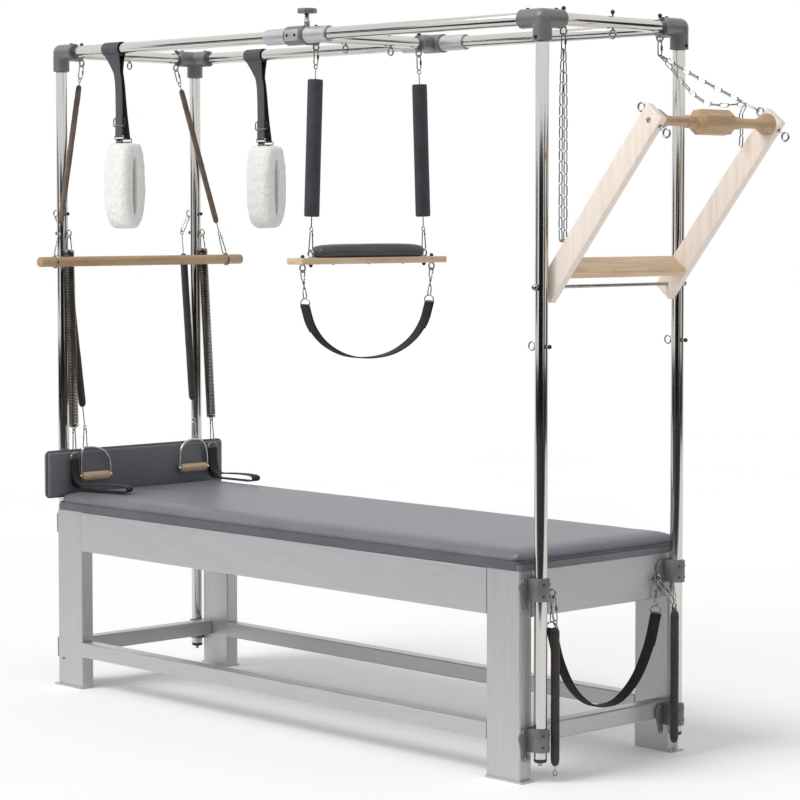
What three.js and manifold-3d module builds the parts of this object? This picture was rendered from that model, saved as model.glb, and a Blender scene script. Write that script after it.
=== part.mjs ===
// A pilates trapeze table: a padded bench with a steel canopy over it, a sliding crossbar that carries
// a trapeze and a sling, a push-through bar at the foot end and a roll-down bar at the head end, with
// their springs, chains, straps and handles.
// Millimetres. X runs from the head end to the foot end, Y from the near side to the far side, Z is up.
import * as THREE from "three";
import { mergeVertices } from "three/addons/utils/BufferGeometryUtils.js";
import Module from "manifold-3d";

const wasm = await Module();
wasm.setup();

// Driving dimensions

// Clearance left between pieces that touch or seat
const GAP = 0.3;
// How far a cutting tool runs past the face that it cuts
const OVERRUN = 2;
// How deep a welded or screwed detail sinks into the piece that carries it
const SINK = 1.5;

// Bench frame
const BENCH_LENGTH = 2194;
const BENCH_WIDTH = 688;
const BENCH_TOP = 604;
const LEG_ALONG = 134;
const LEG_ACROSS = 48;
const EDGE_ROUND = 4;
const PLATE_THICK = 6;
const PLATE_REACH_X = 15;
const PLATE_REACH_Y = 8;
const RAIL_HEIGHT = 134;
const RAIL_DEEP = 48;
const STRETCHER_BOTTOM = 108;
const STRETCHER_HIGH = 51;
const LEG_HOLE_DIAMETER = 10;
const LEG_HOLE_HEIGHT = 94;
const LEG_HOLE_FROM_END = 30;
const LEG_HOLE_DEPTH = 20;

// Mat and headboard
const BOARD_THICK = 18;
const BOARD_CORNER = 12;
const MAT_CORNER = 22;
const MAT_HIGH = 42;
const MAT_SIDE_HIGH = 28;
const MAT_DRAW_IN = 5;
const MAT_EDGE_ROUND = 9;
const DRAW_SHARES = [0.25, 0.5, 0.75];
const CROWN_SHARES = [0.3, 0.7];
const CROWN_REACH = 0.9;
const HEADBOARD_LENGTH = 776;
const HEADBOARD_BOTTOM = 642;
const HEADBOARD_TOP = 804;
const HEADBOARD_THICK = 7;
const HEADBOARD_PAD = 8;
const HEADBOARD_CORNER = 18;
const PAD_MARGIN = 3;

// Canopy tubes
const TUBE_DIAMETER = 38;
const CANOPY_WIDTH = 585;
const UPRIGHT_OFFSET = 31.8;
const CANOPY_TOP = 2160;
const UPRIGHT_BOTTOM = 68;
const TUBE_SIDES = 12;
const SCREW_SIDES = 6;
const RING_ARCS = 8;
const WIRE_SIDES = 3;
const FRAME_SIDES = 6;
const EYE_END_ARCS = 6;
const SHANK_SIDES = 4;
const SMALL_ROD_SIDES = 8;
const WRAP_ARCS = 6;
const CORNER_STEPS = 2;
const RIBBON_STEPS = 1.5;

// Corner fittings
const SOCKET_DIAMETER = 55;
const SOCKET_REACH = 79;
const SOCKET_DROP = 65;
const SOCKET_STOP = 30;
const SET_SCREW_DIAMETER = 11;
const SET_SCREW_PROUD = 2.5;

// Clamps that hold the uprights to the bench
const CLAMP_HIGH = 65;
const CLAMP_OUTER_DIAMETER = 52;
const CLAMP_UPPER_BOTTOM = 519;
const CLAMP_LOWER_BOTTOM = 89;
const FLANGE_THICK = 6;
const FLANGE_REACH = 52;
const FLANGE_TIP_DROP = 27;
const FLANGE_TIP_WIDE = 16;
const FLANGE_SCREW_DIAMETER = 11;
const FLANGE_SCREW_PROUD = 3;
const CAP_HIGH = 9;
const CAP_BOLT_DIAMETER = 12;
const CAP_BOLT_HIGH = 10;

// Eyebolts
const EYE_DIAMETER = 29;
const EYE_WIRE = 5.5;
const EYE_REACH = 33;
const UPRIGHT_EYE_REACH = 37.5;
const HOOK_GAP = 0.5;
const LEAN_GAP = 0.9;
const EYE_NUT_DIAMETER = 13;
const EYE_NUT_REACH = 31;
const EYE_SHANK = 6;
const CROSS_EYE_Y = 206;
const RAIL_EYE_Y = 227;
const RAIL_EYE_Z = 533;
const RAIL_EYE_REACH = 15;
const BAR_EYE_Y = 220;
const BAR_INNER_EYE_Y = 97;
const HEAD_OUTER_EYE_DROP = 548;
const HEAD_INNER_EYE_DROP = 615;
const FOOT_EYE_DROP = 920;

// Sliding crossbar
const BAR_X = 97;
const SLEEVE_DIAMETER = 50;
const SLEEVE_LENGTH = 285;
const SLEEVE_WALL_GAP = 0.6;
const TEE_DIAMETER = 60;
const TEE_LENGTH = 85;
const BAR_SOCKET_DIAMETER = 56;
const BAR_SOCKET_REACH = 72;
const PAD_LONG = 62;
const PAD_HIGH = 34;
const PAD_PROUD = 3;
const KNOB_OFFSET = 39;
const KNOB_DIAMETER = 62;
const KNOB_THICK = 15;
const KNOB_LOBES = 7;
const KNOB_LOBE_STEPS = 3;
const KNOB_LOBE_DEPTH = 3;
const KNOB_RISE = 30;
const HUB_DIAMETER = 19;
const STUD_DIAMETER = 6;
const BOSS_DIAMETER = 17;
const BOSS_RISE = 36;
const STUD_DEPTH = 7;

// Hanging hardware
const LINK_WIRE = 4;
const LINK_WIDE = 20;
const QUICK_LINK = 52;
const CARABINER = 68;
const EYE_END_WIRE = 4;
const EYE_END_DIAMETER = 18;
const SNAP_LOOP_SHARE = 0.4;

// Trapeze and sling
const TRAPEZE_SLEEVE_DIAMETER = 48;
const TRAPEZE_SLEEVE_DROP = 132;
const TRAPEZE_SLEEVE_LONG = 425;
const TRAPEZE_BOARD_LENGTH = 622;
const TRAPEZE_BOARD_WIDE = 76;
const TRAPEZE_BOARD_THICK = 20;
const TRAPEZE_BOARD_DROP = 704;
const TRAPEZE_CORNER = 8;
const TRAPEZE_UPPER_EYE_Y = 244;
const TRAPEZE_LOWER_EYE_Y = 278;
const TRAPEZE_PAD_LENGTH = 462;
const TRAPEZE_PAD_HIGH = 40;
const TRAPEZE_PAD_SIDE = 24;
const TRAPEZE_PAD_CORNER = 25;
const TRAPEZE_PAD_DRAW_IN = 1;
const TRAPEZE_EYE_REACH = 12;
const SLING_TOP_Y = 267;
const SLING_DROP = 128;
const SLING_FALL = 171;
const STRAP_WIDE = 38;
const STRAP_THICK = 4;
const D_RING_WIRE = 4;
const D_RING_HIGH = 24;
const D_RING_ARCS = 4;

// Roll-down bar
const ROLL_BAR_DIAMETER = 34;
const ROLL_BAR_LENGTH = 883;
const ROLL_BAR_EYE_Y = 375;
const ROLL_BAR_DROP = 710;
const ROLL_SLEEVE_DIAMETER = 20;
const ROLL_SLEEVE_DROP = 107;
const ROLL_SLEEVE_LONG = 475;
const ROLL_BAR_CHAMFER = 3;

// Fleece loops on the top rails
const FLEECE_NEAR_FROM_POST = 348.8;
const FLEECE_FAR_FROM_POST = 388.8;
const FLEECE_WIDE = 125;
const FLEECE_DEEP = 105;
const FLEECE_DROP = 313;
const FLEECE_HIGH = 287;
const FLEECE_SLIT_WIDE = 16;
const FLEECE_SLIT_HIGH = 200;
const FLEECE_STRAP_WIDE = 48;
const FLEECE_WRAP_WIDE = 90;
const FLEECE_WRAP_OFFSET = -52;
const FLEECE_BUCKLE_DROP = 245;
const FLEECE_BUCKLE_WIDE = 62;
const FLEECE_BUCKLE_HIGH = 22;
const FLEECE_BUCKLE_THICK = 9;
const FLEECE_STRAP_THICK = 5;
const FLEECE_ROUND = 18;
const FLEECE_SHOULDER = 0.7;

// Leg springs and foot straps
const COIL_DIAMETER = 33;
const COIL_WIRE = 5;
const COIL_DROP = 678;
const COIL_BOTTOM = 890;
const COIL_TURNS = 9;
const COIL_STEPS = 8;
const COIL_SIDES = 5;
const COIL_CAP_HIGH = 8;
const FOOT_RING_Z = 790;
const FOOT_LOOP_LONG = 232;
const FOOT_LOOP_HIGH = 25;
const FOOT_LOOP_BEND = 34;

// Arm springs and handles
const ARM_LOW_Y = 240;
const ARM_SLEEVE_DIAMETER = 26;
const ARM_SLEEVE_DROP = 689;
const ARM_SLEEVE_BOTTOM = 949;
const ARM_LEAN_IN = 32;
const ARM_HOOK_PLAY = 3.4;
const HANDLE_FROM_POST = 50.8;
const HANDLE_TOP = 811;
const HANDLE_GRIP_Z = 711;
const HANDLE_WIDE = 126;
const HANDLE_WIRE = 7;
const GRIP_DIAMETER = 29;
const GRIP_LENGTH = 114;
const GRIP_WALL_GAP = 0.5;
const HANDLE_NEAR_Y = -196;
const HANDLE_FAR_Y = 237;

// Push-through bar
const PUSH_PIVOT_DROP = 753;
const PUSH_TILT = 51;
const PLANK_LENGTH = 655;
const PLANK_WIDE = 70;
const PLANK_THICK = 25;
const PLANK_INNER_Y = 243;
const PLANK_PIVOT = 32;
const FOOTREST_START = 58;
const FOOTREST_END = 80;
const HANDLE_BAR_S = 591;
const HANDLE_BAR_DIAMETER = 28;
const GRIP_ACROSS = 74;
const GRIP_SPAN = 170;
const GRIP_TAPER = 26;
const GRIP_FACES = 8;
const END_FLARE = 40;
const PIVOT_ROD = 10;
const PIVOT_BORE = 11;
const PIVOT_NUT = 18;
const PIVOT_NUT_THICK = 9;
const PIVOT_END_Y = 330;
const PLANK_EYE_S = 597;
const PLANK_UPPER_EYE = 16;
const PLANK_LOWER_EYE = 30;

// Chains
const CHAIN_WIRE = 3.2;
const CHAIN_PITCH = 45;
const CHAIN_WIDE = 12.5;
const CHAIN_SPREAD = 0.75;
const CHAIN_BITE = 0.5;
const NEAR_CHAIN_DROP = 626;
const FAR_CHAIN_SAG = 148;
const FAR_CHAIN_TAIL = 110;

// Foot springs and safety strap
const FOOT_SLEEVE_DIAMETER = 26;
const FOOT_SLEEVE_TOP = 443;
const FOOT_SLEEVE_BOTTOM = 46;
// Ends of the foot springs: from the foot uprights along X, from the middle along Y
const FOOT_NEAR_TOP = [17.2, -251];
const FOOT_NEAR_BOTTOM = [22.2, -255];
const FOOT_FAR_TOP = [34.2, 247];
const FOOT_FAR_BOTTOM = [36.2, 245];
const FOOT_END_LOOP = 26;
const FOOT_HOOK_SHIFT = 3.3;
const SAFETY_TOP_Y = 224;
const SAFETY_TOP_Z = 428;
const SAFETY_LOW_Z = 182;

// Places worked out from the driving dimensions
const LEG_FACE_X = BENCH_LENGTH / 2;
const LEG_FACE_Y = BENCH_WIDTH / 2;
const POST_X = LEG_FACE_X + UPRIGHT_OFFSET;
const POST_Y = CANOPY_WIDTH / 2;
const TUBE_RADIUS = TUBE_DIAMETER / 2;
const BORE_RADIUS = TUBE_RADIUS + GAP;
const MAT_BASE = BENCH_TOP + BOARD_THICK;
const EYE_RADIUS = (EYE_DIAMETER - EYE_WIRE) / 2;
const EYE_HOLE = EYE_RADIUS - EYE_WIRE / 2;
const SPRING_HOOK_WIRE = LINK_WIRE - 4 * GAP;
const HEAD_OUTER_EYE_Z = CANOPY_TOP - HEAD_OUTER_EYE_DROP;
const HEAD_INNER_EYE_Z = CANOPY_TOP - HEAD_INNER_EYE_DROP;
const COIL_TOP = CANOPY_TOP - COIL_DROP;
const ARM_SLEEVE_TOP = CANOPY_TOP - ARM_SLEEVE_DROP;
const BOSS_TOP = CANOPY_TOP + BOSS_RISE;
const KNOB_BOTTOM = BOSS_TOP + KNOB_RISE;
const TRAPEZE_SLEEVE_TOP = CANOPY_TOP - TRAPEZE_SLEEVE_DROP;
const TRAPEZE_SLEEVE_BOTTOM = TRAPEZE_SLEEVE_TOP - TRAPEZE_SLEEVE_LONG;
const TRAPEZE_BOARD_BOTTOM = CANOPY_TOP - TRAPEZE_BOARD_DROP;
const SLING_TOP_Z = TRAPEZE_BOARD_BOTTOM - SLING_DROP;
const SLING_LOW_Z = SLING_TOP_Z - SLING_FALL;
const ROLL_BAR_Z = CANOPY_TOP - ROLL_BAR_DROP;
const ROLL_SLEEVE_TOP = CANOPY_TOP - ROLL_SLEEVE_DROP;
const ROLL_SLEEVE_BOTTOM = ROLL_SLEEVE_TOP - ROLL_SLEEVE_LONG;
const FLEECE_NEAR_X = FLEECE_NEAR_FROM_POST - POST_X;
const FLEECE_FAR_X = FLEECE_FAR_FROM_POST - POST_X;
const FLEECE_TOP = CANOPY_TOP - FLEECE_DROP;
const FLEECE_BOTTOM = FLEECE_TOP - FLEECE_HIGH;
const FLEECE_BUCKLE_Z = CANOPY_TOP - FLEECE_BUCKLE_DROP;
const HANDLE_X = HANDLE_FROM_POST - POST_X;
const PUSH_PIVOT_Z = CANOPY_TOP - PUSH_PIVOT_DROP;
const FOOT_EYE_Z = CANOPY_TOP - FOOT_EYE_DROP;
const NEAR_CHAIN_BOTTOM = CANOPY_TOP - NEAR_CHAIN_DROP;

// Finishes

function finish(color, roughness, metalness) {
  return new THREE.MeshStandardMaterial({ color, roughness, metalness });
}

const brushed = finish(0xb4b4b2, 0.42, 0.9);
const polished = finish(0xc9c7c2, 0.2, 1);
const casting = finish(0x4c4d50, 0.5, 0.6);
const birch = finish(0xd8bfa4, 0.55, 0);
const vinyl = finish(0x55545c, 0.55, 0);
const plyEdge = finish(0x3a3a3e, 0.7, 0);
const fleece = finish(0xf1efea, 0.95, 0);
const webbing = finish(0x1d1c1c, 0.85, 0);
const sleeveCloth = finish(0x4a423c, 0.8, 0);
const darkSleeve = finish(0x33312f, 0.7, 0);
const zinc = finish(0xa9a8a5, 0.35, 0.95);
const foam = finish(0x242325, 0.8, 0);

// Solids and how they are joined and cut

function solid(geometry) {
  const bare = geometry.clone();
  bare.deleteAttribute("normal");
  bare.deleteAttribute("uv");
  const merged = mergeVertices(bare);
  const index = merged.index.array;
  const kept = [];
  for (let i = 0; i < index.length; i += 3) {
    const [a, b, c] = [index[i], index[i + 1], index[i + 2]];
    if (a !== b && b !== c && c !== a) kept.push(a, b, c);
  }
  const mesh = new wasm.Mesh({
    numProp: 3,
    vertProperties: new Float32Array(merged.attributes.position.array),
    triVerts: new Uint32Array(kept),
  });
  return new wasm.Manifold(mesh);
}

function toGeometry(manifold) {
  const mesh = manifold.getMesh();
  const geometry = new THREE.BufferGeometry();
  geometry.setAttribute("position", new THREE.BufferAttribute(mesh.vertProperties, 3));
  geometry.setIndex(new THREE.BufferAttribute(mesh.triVerts, 1));
  return geometry;
}

function join(...pieces) {
  return toGeometry(pieces.map(solid).reduce((whole, piece) => whole.add(piece)));
}

function cut(body, ...tools) {
  return toGeometry(tools.map(solid).reduce((rest, tool) => rest.subtract(tool), solid(body)));
}

// Turns a solid from its Z axis to lie along X, or along Y
function alongX(geometry) {
  const turn = new THREE.Matrix4().makeBasis(
    new THREE.Vector3(0, 1, 0),
    new THREE.Vector3(0, 0, 1),
    new THREE.Vector3(1, 0, 0),
  );
  return geometry.applyMatrix4(turn);
}

function alongY(geometry) {
  return geometry.rotateX(Math.PI / 2);
}

// Profiles and simple solids

function roundedRect(width, height, radius) {
  const [x, y, r] = [width / 2, height / 2, radius];
  const shape = new THREE.Shape();
  shape.absarc(x - r, y - r, r, 0, Math.PI / 2);
  shape.absarc(r - x, y - r, r, Math.PI / 2, Math.PI);
  shape.absarc(r - x, r - y, r, Math.PI, 1.5 * Math.PI);
  shape.absarc(x - r, r - y, r, 1.5 * Math.PI, 2 * Math.PI);
  return shape;
}

// A profile extruded evenly about its own plane
function prism(shape, depth, curveSegments = 2) {
  const geometry = new THREE.ExtrudeGeometry(shape, { depth, bevelEnabled: false, curveSegments });
  return geometry.translate(0, 0, -depth / 2);
}

function bar(width, height, length, radius, curveSegments = 1) {
  return prism(roundedRect(width, height, radius), length, curveSegments);
}

function rod(diameter, length, sides = TUBE_SIDES) {
  return new THREE.CylinderGeometry(diameter / 2, diameter / 2, length, sides).rotateX(Math.PI / 2);
}

// A turned piece: [radius, height] pairs from its lower end to its upper end, about Z
function turned(profile, sides = TUBE_SIDES) {
  const points = profile.map(([radius, height]) => new THREE.Vector2(radius, height));
  const geometry = new THREE.LatheGeometry(points, sides);
  return geometry.rotateX(Math.PI / 2);
}

// A capsule-like sleeve with softened ends, its length measured over all
function sleeve(diameter, length, sides) {
  const [r, h] = [diameter / 2, length / 2];
  return turned(
    [[0, -h], [r / 2, -h], [r, r / 2 - h], [r, h - r / 2], [r / 2, h], [0, h]],
    sides,
  );
}

// Wire ring standing in the XZ plane, so that its hole runs along Y
function ringXZ(diameter, wire, arcs = RING_ARCS) {
  const radius = (diameter - wire) / 2;
  const turns = Array.from({ length: arcs }, (_, i) => (2 * Math.PI * i) / arcs);
  const loop = wireLoop(turns.map((a) => [radius * Math.cos(a), radius * Math.sin(a)]), wire);
  return loop.rotateZ(Math.PI / 2);
}

// A closed wire loop swept round a path in the YZ plane: points are [y, z] of the wire's centre in
// counterclockwise order, and one ridge of the wire runs along the inside of the loop
function wireLoop(points, wire, sides = WIRE_SIDES) {
  const count = points.length;
  const vertices = [];
  const triangles = [];
  points.forEach(([y, z], i) => {
    const here = new THREE.Vector2(y, z);
    const into = here.clone().sub(new THREE.Vector2(...points[(i + count - 1) % count])).normalize();
    const away = new THREE.Vector2(...points[(i + 1) % count]).sub(here).normalize();
    const mean = into.clone().add(away).normalize();
    const mitre = 1 / mean.dot(away);
    for (let k = 0; k < sides; k++) {
      const angle = Math.PI + (2 * Math.PI * k) / sides;
      const out = (Math.cos(angle) * wire * mitre) / 2;
      vertices.push((Math.sin(angle) * wire) / 2, y + mean.y * out, z - mean.x * out);
    }
  });
  for (let i = 0; i < count; i++) {
    const [here, next] = [i * sides, ((i + 1) % count) * sides];
    for (let k = 0; k < sides; k++) {
      const side = (k + 1) % sides;
      triangles.push(here + k, next + k, next + side, here + k, next + side, here + side);
    }
  }
  const geometry = new THREE.BufferGeometry();
  geometry.setAttribute("position", new THREE.Float32BufferAttribute(vertices, 3));
  geometry.setIndex(triangles);
  return solid(geometry).volume() < 0 ? flipped(geometry) : geometry;
}

function flipped(geometry) {
  const turned = geometry.clone();
  const index = turned.index.array;
  for (let i = 0; i < index.length; i += 3) [index[i], index[i + 1]] = [index[i + 1], index[i]];
  return turned;
}

// A link or carabiner that hangs in the YZ plane, from the centre of its top wire at the origin, with
// ends that are half octagons, so that its wire crosses an eye level
function link(length, width, wire) {
  const radius = (width - wire) / 2;
  const low = -(length - wire);
  const flat = radius * Math.tan(Math.PI / 8);
  const bend = radius - flat;
  return wireLoop(
    [
      [radius, -bend], [flat, 0], [-flat, 0], [-radius, -bend],
      [-radius, low + bend], [-flat, low], [flat, low], [radius, low + bend],
    ],
    wire,
  );
}

// An eyebolt with its shank along Z through the origin, its ring below and its ball nut above
function eyebolt(reach = EYE_REACH, nutReach = EYE_NUT_REACH) {
  const ring = ringXZ(EYE_DIAMETER, EYE_WIRE).translate(0, 0, -reach);
  const [low, high] = [EYE_RADIUS - reach, nutReach];
  const shank = rod(EYE_SHANK, high - low, SHANK_SIDES).translate(0, 0, (high + low) / 2);
  const nut = new THREE.SphereGeometry(EYE_NUT_DIAMETER / 2, SCREW_SIDES, 3).translate(0, 0, nutReach);
  return join(ring, shank, nut);
}

// Adding pieces to the table

const table = new THREE.Group();

function add(name, geometry, material, position = [0, 0, 0], rotation = [0, 0, 0]) {
  const mesh = new THREE.Mesh(geometry, material);
  mesh.name = name;
  mesh.position.set(...position);
  mesh.rotation.set(...rotation);
  table.add(mesh);
  return mesh;
}

// Bench frame

function legGeometry(endSign, sideSign, drilled) {
  const post = bar(LEG_ALONG, LEG_ACROSS, BENCH_TOP - PLATE_THICK + SINK, EDGE_ROUND);
  post.translate(0, 0, (BENCH_TOP + PLATE_THICK - SINK) / 2);
  const plate = bar(LEG_ALONG + PLATE_REACH_X, LEG_ACROSS + PLATE_REACH_Y, PLATE_THICK, EDGE_ROUND);
  plate.translate((endSign * PLATE_REACH_X) / 2, (sideSign * PLATE_REACH_Y) / 2, PLATE_THICK / 2);
  const leg = join(post, plate);
  if (!drilled) return leg;
  const hole = alongY(rod(LEG_HOLE_DIAMETER, LEG_HOLE_DEPTH + OVERRUN, SMALL_ROD_SIDES));
  const holeX = endSign * (LEG_ALONG / 2 - LEG_HOLE_FROM_END);
  const holeY = sideSign * (LEG_ACROSS / 2 - (LEG_HOLE_DEPTH - OVERRUN) / 2);
  return cut(leg, hole.translate(holeX, holeY, LEG_HOLE_HEIGHT));
}

function addLegs() {
  const ends = [["head", -1], ["foot", 1]];
  const sides = [["near", -1], ["far", 1]];
  for (const [end, endSign] of ends) {
    for (const [side, sideSign] of sides) {
      const drilled = end === "head" && side === "near";
      const x = endSign * (LEG_FACE_X - LEG_ALONG / 2);
      const y = sideSign * (LEG_FACE_Y - LEG_ACROSS / 2);
      add(`${end}_leg_${side}`, legGeometry(endSign, sideSign, drilled), brushed, [x, y, 0]);
    }
  }
}

function addRails() {
  const sideLength = BENCH_LENGTH - 2 * LEG_ALONG - 2 * GAP;
  const endLength = BENCH_WIDTH - 2 * LEG_ACROSS - 2 * GAP;
  const railZ = BENCH_TOP - RAIL_HEIGHT / 2;
  const stretcherZ = STRETCHER_BOTTOM + STRETCHER_HIGH / 2;
  const y = LEG_FACE_Y - RAIL_DEEP / 2;
  const x = LEG_FACE_X - RAIL_DEEP / 2;
  const sideRail = () => alongX(bar(RAIL_DEEP, RAIL_HEIGHT, sideLength, EDGE_ROUND));
  const sideStretcher = () => alongX(bar(RAIL_DEEP, STRETCHER_HIGH, sideLength, EDGE_ROUND));
  const endRail = () => alongY(bar(RAIL_DEEP, RAIL_HEIGHT, endLength, EDGE_ROUND));
  const endStretcher = () => alongY(bar(RAIL_DEEP, STRETCHER_HIGH, endLength, EDGE_ROUND));
  add("side_rail_near", sideRail(), brushed, [0, -y, railZ]);
  add("side_rail_far", sideRail(), brushed, [0, y, railZ]);
  add("side_stretcher_near", sideStretcher(), brushed, [0, -y, stretcherZ]);
  add("side_stretcher_far", sideStretcher(), brushed, [0, y, stretcherZ]);
  add("head_rail", endRail(), brushed, [-x, 0, railZ]);
  add("foot_rail", footRail(endRail(), railZ), brushed, [x, 0, railZ]);
  add("head_stretcher", endStretcher(), brushed, [-x, 0, stretcherZ]);
  add("foot_stretcher", endStretcher(), brushed, [x, 0, stretcherZ]);
}

// The foot rail carries two eye screws on its outer face
function footRail(rail, railZ) {
  const ringX = RAIL_DEEP / 2 + RAIL_EYE_REACH;
  const screws = [-RAIL_EYE_Y, RAIL_EYE_Y].map((y) => {
    const ring = ringXZ(EYE_DIAMETER, EYE_WIRE).translate(ringX, 0, 0);
    const shankLength = ringX - EYE_RADIUS - RAIL_DEEP / 2 + 2 * SINK;
    const shank = alongX(rod(EYE_SHANK, shankLength, SHANK_SIDES));
    shank.translate(RAIL_DEEP / 2 - SINK + shankLength / 2, 0, 0);
    return join(ring, shank).translate(0, y, RAIL_EYE_Z - railZ);
  });
  return join(rail, ...screws);
}

// Mat and headboard

// A rounded outline drawn in along its sides between the corners, inset by a given distance
function paddedOutline(length, width, corner, drawIn, inset) {
  const [hx, hy] = [length / 2 - inset, width / 2 - inset];
  const r = Math.max(corner - inset, corner / 4);
  const points = [];
  const quarter = [[1, 1], [-1, 1], [-1, -1], [1, -1]];
  quarter.forEach(([sx, sy], q) => {
    for (let i = 0; i <= CORNER_STEPS; i++) {
      const angle = (Math.PI / 2) * (q + i / CORNER_STEPS);
      points.push([sx * (hx - r) + r * Math.cos(angle), sy * (hy - r) + r * Math.sin(angle)]);
    }
    const [nx, ny] = quarter[(q + 1) % 4];
    for (const t of DRAW_SHARES) {
      const pull = 4 * t * (1 - t) * drawIn;
      const x = (sx * (1 - t) + nx * t) * (hx - (sx === nx ? pull : r));
      const y = (sy * (1 - t) + ny * t) * (hy - (sy === ny ? pull : r));
      points.push([x, y]);
    }
  });
  return points;
}

// A padded form: rings of an outline at rising heights, closed by a crowned top
function padding({ length, width, corner, drawIn, sideHigh, high, edge }) {
  const span = Math.min(length, width) / 2;
  const crown = high - sideHigh;
  const rings = [
    [edge / 2, 0],
    [0, edge],
    [0, sideHigh - edge],
    [edge / 2, sideHigh],
    ...CROWN_SHARES.map((share) => [
      edge / 2 + span * share * CROWN_REACH,
      sideHigh + crown * Math.sin((share * Math.PI) / 2),
    ]),
  ];
  const vertices = [];
  const triangles = [];
  for (const [inset, z] of rings) {
    for (const [x, y] of paddedOutline(length, width, corner, drawIn, inset)) vertices.push(x, y, z);
  }
  const count = vertices.length / 3 / rings.length;
  for (let ring = 0; ring + 1 < rings.length; ring++) {
    for (let i = 0; i < count; i++) {
      const [a, b] = [ring * count + i, ring * count + ((i + 1) % count)];
      triangles.push(a, b, b + count, a, b + count, a + count);
    }
  }
  const [bottom, top] = [vertices.length / 3, vertices.length / 3 + 1];
  vertices.push(0, 0, 0, 0, 0, high);
  const last = (rings.length - 1) * count;
  for (let i = 0; i < count; i++) {
    const next = (i + 1) % count;
    triangles.push(bottom, next, i, top, last + i, last + next);
  }
  const geometry = new THREE.BufferGeometry();
  geometry.setAttribute("position", new THREE.Float32BufferAttribute(vertices, 3));
  geometry.setIndex(triangles);
  return geometry;
}

function addMat() {
  const board = bar(BENCH_LENGTH, BENCH_WIDTH, BOARD_THICK - GAP, BOARD_CORNER, 3);
  add("mat_board", board, plyEdge, [0, 0, BENCH_TOP + GAP + (BOARD_THICK - GAP) / 2]);
  const cushion = padding({
    length: BENCH_LENGTH - 2 * PLATE_THICK,
    width: BENCH_WIDTH,
    corner: MAT_CORNER,
    drawIn: MAT_DRAW_IN,
    sideHigh: MAT_SIDE_HIGH,
    high: MAT_HIGH - GAP,
    edge: MAT_EDGE_ROUND,
  });
  add("mat_cushion", cushion, vinyl, [0, 0, MAT_BASE + GAP]);
}

function addHeadboard() {
  const high = HEADBOARD_TOP - HEADBOARD_BOTTOM;
  const middle = (HEADBOARD_TOP + HEADBOARD_BOTTOM) / 2;
  const board = alongX(bar(HEADBOARD_LENGTH, high, HEADBOARD_THICK, HEADBOARD_CORNER, 3));
  const boardX = TUBE_RADIUS + GAP + HEADBOARD_THICK / 2 - POST_X;
  add("headboard_board", board, plyEdge, [boardX, 0, middle]);
  const shape = roundedRect(
    HEADBOARD_LENGTH - 2 * PAD_MARGIN,
    high - 2 * PAD_MARGIN,
    HEADBOARD_CORNER - PAD_MARGIN,
  );
  const bevel = PAD_MARGIN;
  const pad = new THREE.ExtrudeGeometry(shape, {
    depth: HEADBOARD_PAD - bevel,
    bevelThickness: bevel,
    bevelSize: bevel,
    bevelOffset: -bevel,
    bevelSegments: 1,
    curveSegments: 2,
  });
  const flat = cut(pad, new THREE.BoxGeometry(HEADBOARD_LENGTH, high, bevel).translate(0, 0, -bevel / 2));
  add("headboard_pad", alongX(flat), vinyl, [boardX + HEADBOARD_THICK / 2 + GAP, 0, middle]);
}

// Canopy

// A clamp in its own frame: the tube's axis at the origin, the bench face toward -X, flange toward -Y
function clamp() {
  const face = GAP - UPRIGHT_OFFSET;
  const [half, edge] = [CLAMP_HIGH / 2, CLAMP_OUTER_DIAMETER / 2];
  const section = new THREE.Shape();
  section.moveTo(face, edge);
  section.lineTo(face, -edge);
  section.absarc(0, 0, edge, -Math.PI / 2, Math.PI / 2);
  const saddle = prism(section, CLAMP_HIGH, 3);
  const corner = FLANGE_TIP_WIDE / 2;
  const [tipTop, tipLow] = [-half, -half - FLANGE_TIP_DROP];
  const outline = new THREE.Shape(
    [
      [0, tipTop], [-edge, tipTop], [-edge, tipLow + corner], [-edge - corner, tipLow],
      [-edge - 2 * corner, tipLow + corner], [-FLANGE_REACH - corner, half - 2 * corner],
      [corner - FLANGE_REACH, half], [0, half],
    ].map(([y, z]) => new THREE.Vector2(y, z)),
  );
  const flange = alongX(prism(outline, FLANGE_THICK, 2)).translate(face + FLANGE_THICK / 2, 0, 0);
  const screwX = face + FLANGE_THICK + (FLANGE_SCREW_PROUD - SINK) / 2;
  const upper = alongX(rod(FLANGE_SCREW_DIAMETER, FLANGE_SCREW_PROUD + SINK, SCREW_SIDES));
  upper.translate(screwX, corner - FLANGE_REACH, half - corner);
  const lower = alongX(rod(FLANGE_SCREW_DIAMETER, FLANGE_SCREW_PROUD + SINK, SCREW_SIDES));
  lower.translate(screwX, -edge - corner, -half - FLANGE_TIP_DROP + corner);
  return join(saddle, flange, upper, lower);
}

// The carabiner seized in a head upright's outer ring, which leans inward to carry an arm spring
function armCarabiner(sideSign) {
  const hook = link(CARABINER, LINK_WIDE, LINK_WIRE);
  hook.rotateX(-sideSign * Math.asin(ARM_LEAN_IN / (CARABINER - LINK_WIRE)));
  const drop = EYE_RADIUS - (EYE_WIRE + LINK_WIRE) / 2 + CHAIN_BITE;
  return hook.translate(-UPRIGHT_EYE_REACH, 0, HEAD_OUTER_EYE_Z - drop);
}

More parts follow.
